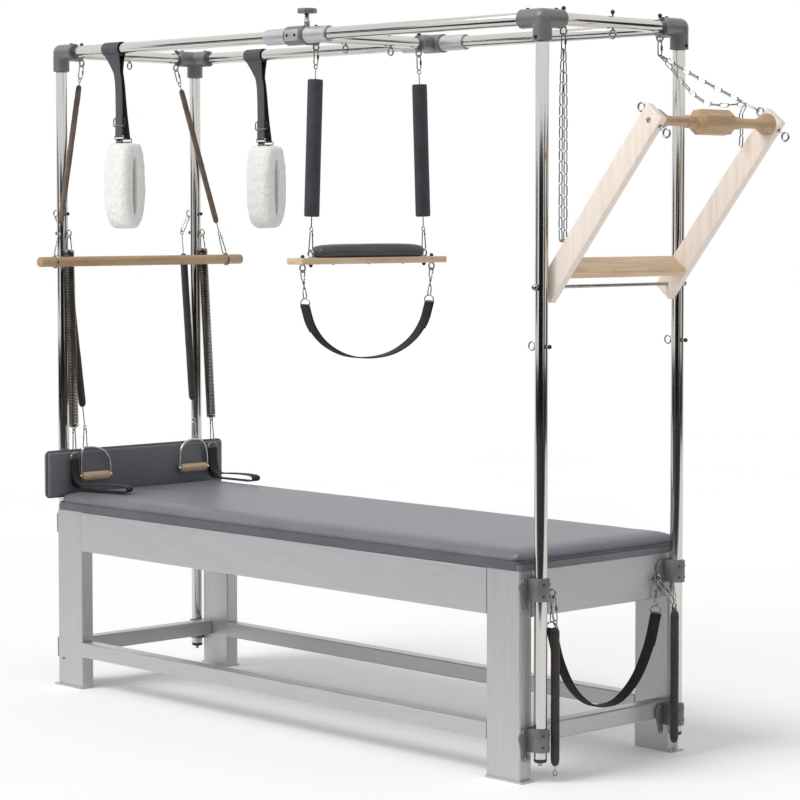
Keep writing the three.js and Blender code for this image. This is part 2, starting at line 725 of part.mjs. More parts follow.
// An upright with its clamps, end cap and eyebolts: eyes are [height, sign of the ring's side in X]
function upright(eyes, endSign, sideSign, boreHeight) {
  const top = CANOPY_TOP - SOCKET_STOP;
  const [capLow, boltLow] = [UPRIGHT_BOTTOM - CAP_HIGH, UPRIGHT_BOTTOM - CAP_HIGH - CAP_BOLT_HIGH];
  const shaft = turned([
    [0, boltLow], [CAP_BOLT_DIAMETER / 2, boltLow], [CAP_BOLT_DIAMETER / 2, capLow],
    [TUBE_RADIUS - CAP_HIGH / 2, capLow], [TUBE_RADIUS, capLow + CAP_HIGH / 2], [TUBE_RADIUS, top], [0, top],
  ]);
  const pieces = [shaft];
  for (const bottom of [CLAMP_LOWER_BOTTOM, CLAMP_UPPER_BOTTOM]) {
    const seat = clamp();
    if (endSign < 0) seat.rotateZ(Math.PI);
    pieces.push(seat.translate(0, 0, bottom + CLAMP_HIGH / 2));
  }
  for (const [height, side] of eyes) {
    const bolt = eyebolt(UPRIGHT_EYE_REACH);
    bolt.rotateY((-side * Math.PI) / 2);
    pieces.push(bolt.translate(0, 0, height));
  }
  if (endSign < 0) pieces.push(armCarabiner(sideSign));
  const whole = join(...pieces);
  if (!boreHeight) return whole;
  const bore = alongY(rod(PIVOT_BORE, TUBE_DIAMETER + 2 * OVERRUN, SMALL_ROD_SIDES));
  return cut(whole, bore.translate(0, 0, boreHeight));
}

function addUprights() {
  const headEyes = [[HEAD_OUTER_EYE_Z, -1], [HEAD_INNER_EYE_Z, 1]];
  const footEyes = [[FOOT_EYE_Z, -1]];
  add("head_upright_near", upright(headEyes, -1, -1), polished, [-POST_X, -POST_Y, 0]);
  add("head_upright_far", upright(headEyes, -1, 1), polished, [-POST_X, POST_Y, 0]);
  add("foot_upright_near", upright(footEyes, 1, -1, PUSH_PIVOT_Z), polished, [POST_X, -POST_Y, 0]);
  add("foot_upright_far", upright(footEyes, 1, 1, PUSH_PIVOT_Z), polished, [POST_X, POST_Y, 0]);
}

// A corner fitting with sockets toward +X, toward +Y and down
function cornerFitting() {
  const bore = 2 * BORE_RADIUS;
  const armX = alongX(rod(SOCKET_DIAMETER, SOCKET_REACH)).translate(SOCKET_REACH / 2, 0, 0);
  const armY = alongY(rod(SOCKET_DIAMETER, SOCKET_REACH)).translate(0, SOCKET_REACH / 2, 0);
  const drop = rod(SOCKET_DIAMETER, SOCKET_DROP).translate(0, 0, -SOCKET_DROP / 2);
  const elbow = new THREE.SphereGeometry(SOCKET_DIAMETER / 2, TUBE_SIDES, 6).rotateX(Math.PI / 2);
  const screwLength = SET_SCREW_PROUD + SINK;
  const screw = alongX(rod(SET_SCREW_DIAMETER, screwLength, SCREW_SIDES));
  const screwX = SOCKET_DIAMETER / 2 - screwLength / 2 + SET_SCREW_PROUD;
  screw.translate(-screwX, 0, -SOCKET_DROP + SET_SCREW_DIAMETER);
  const topScrew = rod(SET_SCREW_DIAMETER, screwLength, SCREW_SIDES);
  topScrew.translate(SOCKET_REACH - 2 * SET_SCREW_DIAMETER, 0, screwX);
  const depth = SOCKET_REACH - SOCKET_STOP + GAP + OVERRUN;
  const middle = SOCKET_REACH + OVERRUN - depth / 2;
  const boreX = alongX(rod(bore, depth)).translate(middle, 0, 0);
  const boreY = alongY(rod(bore, depth)).translate(0, middle, 0);
  const dropDepth = SOCKET_DROP - SOCKET_STOP + GAP + OVERRUN;
  const boreDown = rod(bore, dropDepth).translate(0, 0, -SOCKET_DROP - OVERRUN + dropDepth / 2);
  const body = join(armX, armY, drop, elbow, screw, topScrew);
  return cut(body, boreX, boreY, boreDown);
}

function addCanopy() {
  const railLength = 2 * (POST_X - SOCKET_STOP);
  const crossLength = 2 * (POST_Y - SOCKET_STOP);
  const rail = () => alongX(rod(TUBE_DIAMETER, railLength));
  add("top_rail_near", rail(), polished, [0, -POST_Y, CANOPY_TOP]);
  add("top_rail_far", rail(), polished, [0, POST_Y, CANOPY_TOP]);
  const eyes = () => [-CROSS_EYE_Y, 0, CROSS_EYE_Y].map((y) => eyebolt().translate(0, y, 0));
  const cross = () => join(alongY(rod(TUBE_DIAMETER, crossLength)), ...eyes());
  add("head_cross_tube", cross(), polished, [-POST_X, 0, CANOPY_TOP]);
  add("foot_cross_tube", cross(), polished, [POST_X, 0, CANOPY_TOP]);
  const corners = [
    ["head_corner_near", -1, -1, 0],
    ["foot_corner_near", 1, -1, Math.PI / 2],
    ["foot_corner_far", 1, 1, Math.PI],
    ["head_corner_far", -1, 1, -Math.PI / 2],
  ];
  for (const [name, endSign, sideSign, turn] of corners) {
    const place = [endSign * POST_X, sideSign * POST_Y, CANOPY_TOP];
    add(name, cornerFitting(), casting, place, [0, 0, turn]);
  }
}

// Sliding crossbar

// The tee that slides on one top rail: its socket points to the middle of the table
function slider(inward) {
  const socketLength = BAR_SOCKET_REACH;
  const long = alongX(rod(SLEEVE_DIAMETER, SLEEVE_LENGTH));
  const tee = alongX(rod(TEE_DIAMETER, TEE_LENGTH));
  const socket = alongY(rod(BAR_SOCKET_DIAMETER, socketLength));
  socket.translate(0, (inward * socketLength) / 2, 0);
  const pad = new THREE.BoxGeometry(PAD_LONG, TEE_DIAMETER / 2, PAD_HIGH);
  pad.translate(0, -inward * (TEE_DIAMETER / 4 + PAD_PROUD), 0);
  return [long, tee, socket, pad];
}

function addCrossbar() {
  const bore = TUBE_DIAMETER + 2 * SLEEVE_WALL_GAP;
  const near = slider(1).map((piece) => piece.translate(0, -POST_Y, 0));
  const far = slider(-1).map((piece) => piece.translate(0, POST_Y, 0));
  const eyeY = [-BAR_EYE_Y, -BAR_INNER_EYE_Y, BAR_INNER_EYE_Y, BAR_EYE_Y];
  const eyes = eyeY.map((y) => eyebolt().translate(0, y, 0));
  const barTube = alongY(rod(TUBE_DIAMETER, 2 * (POST_Y - TUBE_RADIUS)));
  const bossHigh = BOSS_TOP - CANOPY_TOP - TUBE_RADIUS - SLEEVE_WALL_GAP;
  const boss = rod(BOSS_DIAMETER, bossHigh, SMALL_ROD_SIDES);
  boss.translate(KNOB_OFFSET, -POST_Y, BOSS_TOP - CANOPY_TOP - bossHigh / 2);
  const holeDeep = STUD_DEPTH + GAP + OVERRUN;
  const studHole = rod(STUD_DIAMETER + 2 * GAP, holeDeep, SMALL_ROD_SIDES);
  const holeZ = BOSS_TOP - CANOPY_TOP + OVERRUN - holeDeep / 2;
  studHole.translate(KNOB_OFFSET, -POST_Y, holeZ);
  const body = join(barTube, ...near, ...far, ...eyes, boss);
  const bores = [-POST_Y, POST_Y].map((y) => {
    return alongX(rod(bore, SLEEVE_LENGTH + 2 * OVERRUN)).translate(0, y, 0);
  });
  add("crossbar", cut(body, ...bores, studHole), polished, [BAR_X, 0, CANOPY_TOP]);
  add("lock_knob", lockKnob(), foam, [BAR_X + KNOB_OFFSET, -POST_Y, KNOB_BOTTOM]);
}

// A lobed hand knob with its hub and threaded stud, its disc standing on Z = 0
function lockKnob() {
  const outline = new THREE.Shape();
  const steps = KNOB_LOBES * KNOB_LOBE_STEPS;
  for (let i = 0; i < steps; i++) {
    const angle = (2 * Math.PI * i) / steps;
    const radius = KNOB_DIAMETER / 2 - (KNOB_LOBE_DEPTH * (1 - Math.cos(KNOB_LOBES * angle))) / 2;
    const [x, y] = [radius * Math.cos(angle), radius * Math.sin(angle)];
    if (i === 0) outline.moveTo(x, y);
    else outline.lineTo(x, y);
  }
  const disc = prism(outline, KNOB_THICK).translate(0, 0, KNOB_THICK / 2);
  const hubHigh = KNOB_BOTTOM - BOSS_TOP - GAP;
  const hub = rod(HUB_DIAMETER, hubHigh - STUD_DEPTH + SINK, SMALL_ROD_SIDES);
  hub.translate(0, 0, SINK - (hubHigh - STUD_DEPTH + SINK) / 2);
  const studLong = hubHigh + STUD_DEPTH;
  const stud = rod(STUD_DIAMETER, studLong + SINK, SMALL_ROD_SIDES);
  stud.translate(0, 0, SINK - (studLong + SINK) / 2);
  return join(disc, hub, stud);
}

// Springs in sleeves

// The eye that ends a spring, its hole along Y
function endEye() {
  return ringXZ(EYE_END_DIAMETER, EYE_END_WIRE, EYE_END_ARCS);
}

// A sleeved spring that hangs from the centre of the wire it hooks on, straight down its own -Z:
// an eye, a stem, the sleeve between two distances from the top, a stem and an eye at the bottom
function sleevedSpring({ diameter, sleeveTop, sleeveBottom, length, hookWire, sides = 8 }) {
  const eyeRadius = EYE_END_DIAMETER / 2;
  const drop = eyeRadius - EYE_END_WIRE - hookWire / 2;
  const stemTop = -drop - eyeRadius + EYE_END_WIRE / 2;
  const topEye = endEye().translate(0, 0, -drop);
  const lowEyeZ = -(length - drop);
  const lowEye = endEye().translate(0, 0, lowEyeZ);
  const stemBottom = lowEyeZ + eyeRadius - EYE_END_WIRE / 2;
  const stem = rod(EYE_END_WIRE, stemTop - stemBottom, SHANK_SIDES);
  stem.translate(0, 0, (stemTop + stemBottom) / 2);
  const body = sleeve(diameter, sleeveBottom - sleeveTop, sides);
  body.translate(0, 0, -(sleeveTop + sleeveBottom) / 2);
  return join(topEye, lowEye, stem, body);
}

// Rotation that leans a hanging piece from a top point toward a bottom point
function leanFrom([x0, y0, z0], [x1, y1, z1]) {
  const down = new THREE.Vector3(0, 0, -1);
  const line = new THREE.Vector3(x1 - x0, y1 - y0, z1 - z0);
  const length = line.length();
  const turn = new THREE.Quaternion().setFromUnitVectors(down, line.divideScalar(length));
  const euler = new THREE.Euler().setFromQuaternion(turn);
  return { length, rotation: [euler.x, euler.y, euler.z], turn };
}

// Trapeze and sling

const CROSSBAR_HOOK_Z = CANOPY_TOP - EYE_REACH - EYE_HOLE + LINK_WIRE / 2 + HOOK_GAP;
const BOARD_TOP_Z = TRAPEZE_BOARD_BOTTOM + TRAPEZE_BOARD_THICK;
const BOARD_EYE_Z = BOARD_TOP_Z + TRAPEZE_EYE_REACH;
const BOARD_LOW_EYE_Z = TRAPEZE_BOARD_BOTTOM - TRAPEZE_EYE_REACH;
const BOARD_HOOK_Z = BOARD_EYE_Z + EYE_HOLE - LINK_WIRE / 2 - HOOK_GAP;

function trapezeSpring(side) {
  const top = [0, side * BAR_EYE_Y, CROSSBAR_HOOK_Z];
  const bottom = [0, side * TRAPEZE_UPPER_EYE_Y, BOARD_HOOK_Z];
  const { length, rotation } = leanFrom(top, bottom);
  const wire = LINK_WIRE;
  const quick = link(QUICK_LINK, LINK_WIDE, wire);
  const lowLink = link(CARABINER, LINK_WIDE, wire).translate(0, 0, -(length - CARABINER + wire));
  const hook = QUICK_LINK - wire;
  const springLength = length - hook - (CARABINER - wire);
  const spring = sleevedSpring({
    diameter: TRAPEZE_SLEEVE_DIAMETER,
    sleeveTop: CROSSBAR_HOOK_Z - TRAPEZE_SLEEVE_TOP - hook,
    sleeveBottom: CROSSBAR_HOOK_Z - TRAPEZE_SLEEVE_BOTTOM - hook,
    length: springLength,
    hookWire: SPRING_HOOK_WIRE,
    sides: SMALL_ROD_SIDES,
  }).translate(0, 0, -hook);
  return { geometry: join(quick, spring, lowLink), place: [BAR_X, top[1], top[2]], rotation };
}

function addTrapeze() {
  for (const [name, side] of [["near", -1], ["far", 1]]) {
    const { geometry, place, rotation } = trapezeSpring(side);
    add(`trapeze_spring_${name}`, geometry, foam, place, rotation);
  }
  const plankSize = [TRAPEZE_BOARD_WIDE, TRAPEZE_BOARD_LENGTH, TRAPEZE_BOARD_THICK];
  const plank = bar(...plankSize, TRAPEZE_CORNER, CORNER_STEPS);
  const half = TRAPEZE_BOARD_THICK / 2;
  const eyes = [];
  for (const side of [-1, 1]) {
    const nut = half + EYE_NUT_DIAMETER / 4;
    const low = eyebolt(half + TRAPEZE_EYE_REACH, nut);
    eyes.push(low.translate(0, side * TRAPEZE_LOWER_EYE_Y, 0));
    const high = eyebolt(half + TRAPEZE_EYE_REACH, nut).rotateX(Math.PI);
    eyes.push(high.translate(0, side * TRAPEZE_UPPER_EYE_Y, 0));
  }
  const centre = [BAR_X, 0, TRAPEZE_BOARD_BOTTOM + half];
  add("trapeze_board", join(plank, ...eyes), birch, centre);
  const cushion = padding({
    length: TRAPEZE_BOARD_WIDE,
    width: TRAPEZE_PAD_LENGTH,
    corner: TRAPEZE_PAD_CORNER,
    drawIn: TRAPEZE_PAD_DRAW_IN,
    sideHigh: TRAPEZE_PAD_SIDE,
    high: TRAPEZE_PAD_HIGH,
    edge: MAT_EDGE_ROUND,
  });
  add("trapeze_cushion", cushion, vinyl, [BAR_X, 0, BOARD_TOP_Z + GAP]);
}

// A strap: a ribbon in the YZ plane that follows points, given as wide in X as the webbing
function ribbon(points, thick, wide) {
  const path = new THREE.CatmullRomCurve3(points.map(([y, z]) => new THREE.Vector3(0, y, z)));
  const steps = (points.length - 1) * RIBBON_STEPS;
  const line = path.getPoints(steps);
  const [upper, lower] = [[], []];
  line.forEach((point, i) => {
    const tangent = path.getTangent(i / steps);
    const [ny, nz] = [(-tangent.z * thick) / 2, (tangent.y * thick) / 2];
    upper.push([point.y + ny, point.z + nz]);
    lower.unshift([point.y - ny, point.z - nz]);
  });
  const outline = new THREE.Shape([...upper, ...lower].map(([y, z]) => new THREE.Vector2(y, z)));
  return alongX(prism(outline, wide));
}

// A D ring standing in the XZ plane with its flat side down on the strap at the origin
function dRing(wide) {
  const half = wide / 2;
  const points = [];
  for (let i = 0; i <= D_RING_ARCS; i++) {
    const angle = (Math.PI * i) / D_RING_ARCS;
    points.push([half * Math.cos(angle), D_RING_HIGH * Math.sin(angle)]);
  }
  return wireLoop(points, D_RING_WIRE).rotateZ(Math.PI / 2);
}

// A snap hook in the YZ plane with its top wire's centre at the origin: hook loop, barrel, swivel eye
function snapHook(length) {
  const loop = length * SNAP_LOOP_SHARE;
  const hook = link(loop, LINK_WIDE - LINK_WIRE / 2, LINK_WIRE);
  const [side, low] = [LINK_WIDE / 2 - LINK_WIRE - CHAIN_BITE, 2 * LINK_WIRE - loop];
  const eye = wireLoop([[side, 0], [-side, 0], [-side, low], [side, low]], LINK_WIRE);
  eye.translate(0, 0, -(length - loop));
  const barrel = rod(2 * LINK_WIRE, length - 2 * loop + 4 * LINK_WIRE, SCREW_SIDES);
  return join(hook, barrel.translate(0, 0, -length / 2), eye);
}

const SLING_HOOK_Z = BOARD_LOW_EYE_Z - EYE_HOLE + LINK_WIRE / 2 + LEAN_GAP;

function addSling() {
  const ringZ = SLING_TOP_Z + D_RING_HIGH - D_RING_WIRE;
  const hookLength = SLING_HOOK_Z - ringZ + LINK_WIRE;
  const fallShares = [[1, 1], [0.9, 0.62], [0.7, 0.3], [0.38, 0.07], [0, 0]];
  const fall = SLING_TOP_Z - SLING_LOW_Z;
  const down = fallShares.map(([y, z]) => [-SLING_TOP_Y * y, SLING_LOW_Z + fall * z]);
  const up = fallShares.slice(0, -1).reverse();
  const points = [...down, ...up.map(([y, z]) => [SLING_TOP_Y * y, SLING_LOW_Z + fall * z])];
  const pieces = [ribbon(points, STRAP_THICK, STRAP_WIDE)];
  for (const side of [-1, 1]) {
    pieces.push(dRing(STRAP_WIDE + D_RING_WIRE).translate(0, side * SLING_TOP_Y, SLING_TOP_Z));
    const place = [0, side * TRAPEZE_LOWER_EYE_Y, SLING_HOOK_Z];
    const foot = [0, side * SLING_TOP_Y, SLING_HOOK_Z - hookLength];
    const { turn } = leanFrom(place, foot);
    pieces.push(snapHook(hookLength + LINK_WIRE / 2).applyQuaternion(turn).translate(...place));
  }
  add("trapeze_sling", join(...pieces), webbing, [BAR_X, 0, 0]);
}

// Roll-down bar

const LEG_SPRING_X = UPRIGHT_EYE_REACH - POST_X;
const ROLL_BAR_X = LEG_SPRING_X + COIL_DIAMETER / 2 + ROLL_BAR_DIAMETER / 2 + GAP;
const CROSS_HOOK = [-POST_X, CROSS_EYE_Y, CROSSBAR_HOOK_Z + LEAN_GAP];

function addRollDown() {
  const barRadius = ROLL_BAR_DIAMETER / 2;
  const [half, chamfer] = [ROLL_BAR_LENGTH / 2, ROLL_BAR_CHAMFER];
  const profile = [
    [0, -half], [barRadius - chamfer, -half], [barRadius, chamfer - half],
    [barRadius, half - chamfer], [barRadius - chamfer, half], [0, half],
  ];
  add("roll_down_bar", alongY(join(turned(profile))), birch, [ROLL_BAR_X, 0, ROLL_BAR_Z]);
  for (const [name, side] of [["near", -1], ["far", 1]]) {
    const top = [CROSS_HOOK[0], side * CROSS_HOOK[1], CROSS_HOOK[2]];
    const collar = [ROLL_BAR_X, side * ROLL_BAR_EYE_Y, ROLL_BAR_Z];
    const { length, turn } = leanFrom(top, collar);
    const collarRing = ringXZ(ROLL_BAR_DIAMETER + 2 * (EYE_WIRE + 2 * GAP), EYE_WIRE, TUBE_SIDES);
    const reach = barRadius + GAP + EYE_WIRE / 2 + LEAN_GAP;
    const wire = LINK_WIRE;
    const quick = link(QUICK_LINK, LINK_WIDE, wire);
    const hook = QUICK_LINK - wire;
    const lowLength = CARABINER + wire;
    const lowLink = link(lowLength, LINK_WIDE, wire);
    const lowTop = length - reach - lowLength + wire + GAP;
    lowLink.translate(0, 0, -lowTop);
    const slope = length / (top[2] - ROLL_BAR_Z);
    const spring = sleevedSpring({
      diameter: ROLL_SLEEVE_DIAMETER,
      sleeveTop: (top[2] - ROLL_SLEEVE_TOP) * slope - hook,
      sleeveBottom: (top[2] - ROLL_SLEEVE_BOTTOM) * slope - hook,
      length: lowTop - hook,
      hookWire: SPRING_HOOK_WIRE,
    }).translate(0, 0, -hook);
    const hanging = join(quick, spring, lowLink).applyQuaternion(turn);
    const ringPlace = [collar[0] - top[0], collar[1] - top[1], collar[2] - top[2]];
    const whole = join(hanging, collarRing.translate(...ringPlace));
    add(`roll_down_spring_${name}`, whole, sleeveCloth, top);
  }
}

// Fleece loops

// Origin at the top rail's axis, above the cuff's middle
function fleeceLoop() {
  const wrapInner = TUBE_RADIUS + LEAN_GAP;
  const wrapOuter = wrapInner + FLEECE_STRAP_THICK;
  const outline = new THREE.Shape();
  outline.absarc(0, 0, wrapOuter, 0, 2 * Math.PI);
  const inner = new THREE.Path();
  inner.absarc(0, 0, wrapInner, 0, 2 * Math.PI, true);
  outline.holes.push(inner);
  const wrap = alongX(prism(outline, FLEECE_WRAP_WIDE, WRAP_ARCS)).translate(FLEECE_WRAP_OFFSET, 0, 0);
  const [strapTop, strapBottom] = [-wrapInner - SINK, FLEECE_TOP - CANOPY_TOP - FLEECE_ROUND];
  const strapShape = new THREE.Shape();
  const [wide, slant] = [FLEECE_STRAP_WIDE / 2, FLEECE_WRAP_OFFSET / 2];
  strapShape.moveTo(FLEECE_WRAP_OFFSET - FLEECE_WRAP_WIDE / 2, strapTop);
  strapShape.lineTo(slant - wide, strapTop - FLEECE_WRAP_WIDE);
  strapShape.lineTo(slant / 2 - wide, strapBottom);
  strapShape.lineTo(slant / 2 + wide, strapBottom);
  strapShape.lineTo(slant + wide, strapTop - FLEECE_WRAP_WIDE);
  strapShape.lineTo(FLEECE_WRAP_OFFSET + FLEECE_WRAP_WIDE / 2, strapTop);
  const strap = alongY(prism(strapShape, 2 * FLEECE_STRAP_THICK));
  const buckle = new THREE.BoxGeometry(FLEECE_BUCKLE_WIDE, 2 * FLEECE_BUCKLE_THICK, FLEECE_BUCKLE_HIGH);
  buckle.translate(slant, 0, FLEECE_BUCKLE_Z - CANOPY_TOP);
  return join(wrap, strap, buckle, fleeceCuff());
}

function fleeceCuff() {
  const high = FLEECE_TOP - FLEECE_BOTTOM;
  const [half, side] = [high / 2, FLEECE_DEEP / 2];
  const neck = side / 2;
  const outline = new THREE.Shape();
  outline.moveTo(-neck, half);
  outline.quadraticCurveTo(-side, half * FLEECE_SHOULDER, -side, 0);
  outline.quadraticCurveTo(-side, -half, 0, -half);
  outline.quadraticCurveTo(side, -half, side, 0);
  outline.quadraticCurveTo(side, half * FLEECE_SHOULDER, neck, half);
  const slit = new THREE.Path();
  const [sw, sh] = [FLEECE_SLIT_WIDE / 2, FLEECE_SLIT_HIGH / 2];
  slit.moveTo(0, sh);
  slit.quadraticCurveTo(sw, sh / 2, sw, 0);
  slit.quadraticCurveTo(sw, -sh, 0, -sh);
  slit.quadraticCurveTo(-sw, -sh, -sw, 0);
  slit.quadraticCurveTo(-sw, sh / 2, 0, sh);
  outline.holes.push(slit);
  const bevel = FLEECE_ROUND;
  const cuff = new THREE.ExtrudeGeometry(outline, {
    depth: FLEECE_WIDE - 2 * bevel,
    bevelThickness: bevel,
    bevelSize: SINK * 2,
    bevelOffset: -SINK * 2,
    bevelSegments: 1,
    curveSegments: 2,
  });
  cuff.translate(0, 0, bevel - FLEECE_WIDE / 2);
  return alongX(cuff).translate(0, 0, (FLEECE_TOP + FLEECE_BOTTOM) / 2 - CANOPY_TOP);
}

function addFleeceLoops() {
  add("fleece_loop_near", fleeceLoop(), fleece, [FLEECE_NEAR_X, -POST_Y, CANOPY_TOP]);
  add("fleece_loop_far", fleeceLoop(), fleece, [FLEECE_FAR_X, POST_Y, CANOPY_TOP]);
}

// Leg springs

// One unbroken helical wire whose ends turn to run straight along the spring
function coil(turns, diameter, wire, length) {
  const radius = (diameter - wire) / 2;
  const straight = wire;
  const coiled = length - 2 * straight;
  const steps = turns * COIL_STEPS;
  const centres = [];
  for (let i = 0; i <= steps; i++) {
    const angle = (2 * Math.PI * i) / COIL_STEPS;
    centres.push([angle, straight + (coiled * i) / steps]);
  }
  const lastAngle = 2 * Math.PI * turns;
  const eighth = (2 * Math.PI) / COIL_STEPS / 2;
  const rows = [[-eighth, 0], [-eighth, straight / 2], ...centres];
  rows.push([lastAngle + eighth, length - straight / 2], [lastAngle + eighth, length]);
  const points = rows.map(([a, z]) => new THREE.Vector3(radius * Math.cos(a), radius * Math.sin(a), z));
  const vertices = [];
  points.forEach((point, i) => {
    const before = points[Math.max(i - 1, 0)];
    const after = points[Math.min(i + 1, points.length - 1)];
    const tangent = after.clone().sub(before).normalize();
    const out = new THREE.Vector3(point.x, point.y, 0).normalize();
    const across = new THREE.Vector3().crossVectors(tangent, out).normalize();
    const level = new THREE.Vector3().crossVectors(across, tangent).normalize();
    for (let k = 0; k < COIL_SIDES; k++) {
      const angle = (2 * Math.PI * k) / COIL_SIDES;
      const spot = point.clone();
      spot.addScaledVector(level, (Math.cos(angle) * wire) / 2);
      spot.addScaledVector(across, (Math.sin(angle) * wire) / 2);
      vertices.push(spot.x, spot.y, spot.z);
    }
  });
  const triangles = [];
  for (let i = 0; i + 1 < points.length; i++) {
    for (let k = 0; k < COIL_SIDES; k++) {
      const [a, b] = [i * COIL_SIDES + k, i * COIL_SIDES + ((k + 1) % COIL_SIDES)];
      triangles.push(a, b, b + COIL_SIDES, a, b + COIL_SIDES, a + COIL_SIDES);
    }
  }
  const end = (points.length - 1) * COIL_SIDES;
  for (let k = 1; k + 1 < COIL_SIDES; k++) {
    triangles.push(0, k + 1, k, end, end + k, end + k + 1);
  }
  const geometry = new THREE.BufferGeometry();
  geometry.setAttribute("position", new THREE.Float32BufferAttribute(vertices, 3));
  geometry.setIndex(triangles);
  measureCoil(points, wire);
  return solid(geometry).volume() < 0 ? flipped(geometry) : geometry;
}

// Prints the least gap between one turn of a coil and the next, measured on its points
function measureCoil(points, wire) {
  let least = Infinity;
  for (let i = 0; i < points.length; i++) {
    for (let j = i + COIL_STEPS / 2; j < points.length; j++) {
      least = Math.min(least, points[i].distanceTo(points[j]) - wire);
    }
  }
  console.log(`coil: least gap to itself ${least.toFixed(2)} mm`);
}

const COIL_HANG = EYE_WIRE / 2 + HOOK_GAP;

// A leg spring from its carabiner's top arc at the origin: carabiner, cap with eye, coil, cap and ring
function legSpring(length) {
  const radius = (LINK_WIDE - LINK_WIRE) / 2;
  const top = radius;
  const [coilTop, coilBottom] = [HEAD_INNER_HOOK_Z - COIL_TOP, HEAD_INNER_HOOK_Z - COIL_BOTTOM];
  const cap = () => rod(COIL_DIAMETER, COIL_CAP_HIGH, SMALL_ROD_SIDES);
  const linkLong = coilTop - COIL_CAP_HIGH + 2 * SINK + top + LINK_WIRE;
  const upperLink = link(linkLong, LINK_WIDE, LINK_WIRE).translate(0, 0, top);
  const wireCoil = coil(COIL_TURNS, COIL_DIAMETER - 2 * SINK, COIL_WIRE, coilBottom - coilTop);
  const lowerCap = cap().translate(0, 0, -coilBottom - COIL_CAP_HIGH / 2 + SINK);
  const upperCap = cap().translate(0, 0, -coilTop + COIL_CAP_HIGH / 2 - SINK);
  const ringZ = coilBottom + COIL_CAP_HIGH - 2 * SINK + (EYE_END_DIAMETER - EYE_END_WIRE) / 2;
  const hook = ringZ + EYE_END_DIAMETER / 2 - EYE_END_WIRE - LINK_WIRE / 2 - CHAIN_BITE;
  const ring = endEye().translate(0, 0, -ringZ);
  const lowLink = link(length - hook + LINK_WIRE, LINK_WIDE, LINK_WIRE).translate(0, 0, -hook);
  const lowEnd = join(ring, lowLink).rotateZ(Math.PI / 2);
  return join(upperLink, upperCap, wireCoil.translate(0, 0, -coilBottom), lowerCap, lowEnd);
}

const HEAD_INNER_HOOK_Z = HEAD_INNER_EYE_Z - EYE_RADIUS - (LINK_WIDE / 2 - LINK_WIRE) + COIL_HANG;

// A foot strap from its D ring at the origin: webbing down to the mat and a loop lying along +X
function footStrap(drop) {
  const ring = dRing(STRAP_WIDE + D_RING_WIRE).rotateZ(Math.PI / 2);
  const t = STRAP_THICK;
  const bottom = -drop;
  const outer = new THREE.Shape();
  outer.moveTo(-t, t / 2);
  outer.lineTo(-t, bottom + FOOT_LOOP_BEND);
  outer.quadraticCurveTo(-t, bottom, FOOT_LOOP_BEND, bottom);
  outer.lineTo(FOOT_LOOP_LONG - FOOT_LOOP_HIGH / 2, bottom);
  const endX = FOOT_LOOP_LONG - FOOT_LOOP_HIGH / 2;
  outer.absarc(endX, bottom + FOOT_LOOP_HIGH / 2, FOOT_LOOP_HIGH / 2, -Math.PI / 2, Math.PI / 2, false);
  outer.lineTo(FOOT_LOOP_BEND + FOOT_LOOP_HIGH, bottom + FOOT_LOOP_HIGH);
  outer.quadraticCurveTo(t, bottom + FOOT_LOOP_HIGH, t, bottom + 2 * FOOT_LOOP_BEND);
  outer.lineTo(t, t / 2);
  const inner = new THREE.Path();
  inner.moveTo(FOOT_LOOP_BEND + t, bottom + t);
  inner.lineTo(endX, bottom + t);
  const inside = FOOT_LOOP_HIGH / 2 - t;
  inner.absarc(endX, bottom + FOOT_LOOP_HIGH / 2, inside, -Math.PI / 2, Math.PI / 2, false);
  inner.lineTo(FOOT_LOOP_BEND + FOOT_LOOP_HIGH, bottom + FOOT_LOOP_HIGH - t);
  outer.holes.push(inner);
  const strap = alongY(prism(outer, STRAP_WIDE, 4));
  return join(ring, strap);
}

const NEAR_STRAP = { y: -284, turnY: 70 };
const FAR_STRAP = { y: 326, turnY: 9 };
const FOOT_STRAP_FROM_POST = 49.8;
const FOOT_STRAP_X = FOOT_STRAP_FROM_POST - POST_X;
const FOOT_STRAP_LIFT = 3;

function addLegSprings() {
  const ringTop = FOOT_RING_Z;
  for (const [name, side, strap] of [["near", -1, NEAR_STRAP], ["far", 1, FAR_STRAP]]) {
    const top = [LEG_SPRING_X, side * POST_Y, HEAD_INNER_HOOK_Z];
    const hook = [FOOT_STRAP_X, strap.y, ringTop];
    const { length, rotation } = leanFrom(top, hook);
    add(`leg_spring_${name}`, legSpring(length), zinc, top, rotation);
    const ringDrop = D_RING_HIGH - LINK_WIRE - LEAN_GAP;
    const drop = ringTop - ringDrop - MAT_BASE - MAT_HIGH - FOOT_STRAP_LIFT;
    const angle = Math.atan2(strap.turnY, FOOT_LOOP_LONG);
    const place = [FOOT_STRAP_X, strap.y, ringTop - ringDrop];
    add(`foot_strap_${name}`, footStrap(drop), webbing, place, [0, 0, angle]);
  }
}

// Arm springs and handles

const ARM_EYE_X = -POST_X - UPRIGHT_EYE_REACH;
const ARM_CARABINER_TOP = HEAD_OUTER_EYE_Z - EYE_RADIUS + (EYE_WIRE + LINK_WIRE) / 2 - CHAIN_BITE;
const ARM_CARABINER_DROP = Math.sqrt((CARABINER - LINK_WIRE) ** 2 - ARM_LEAN_IN ** 2);
const ARM_HOOK = [ARM_EYE_X, POST_Y - ARM_LEAN_IN, ARM_CARABINER_TOP - ARM_CARABINER_DROP];

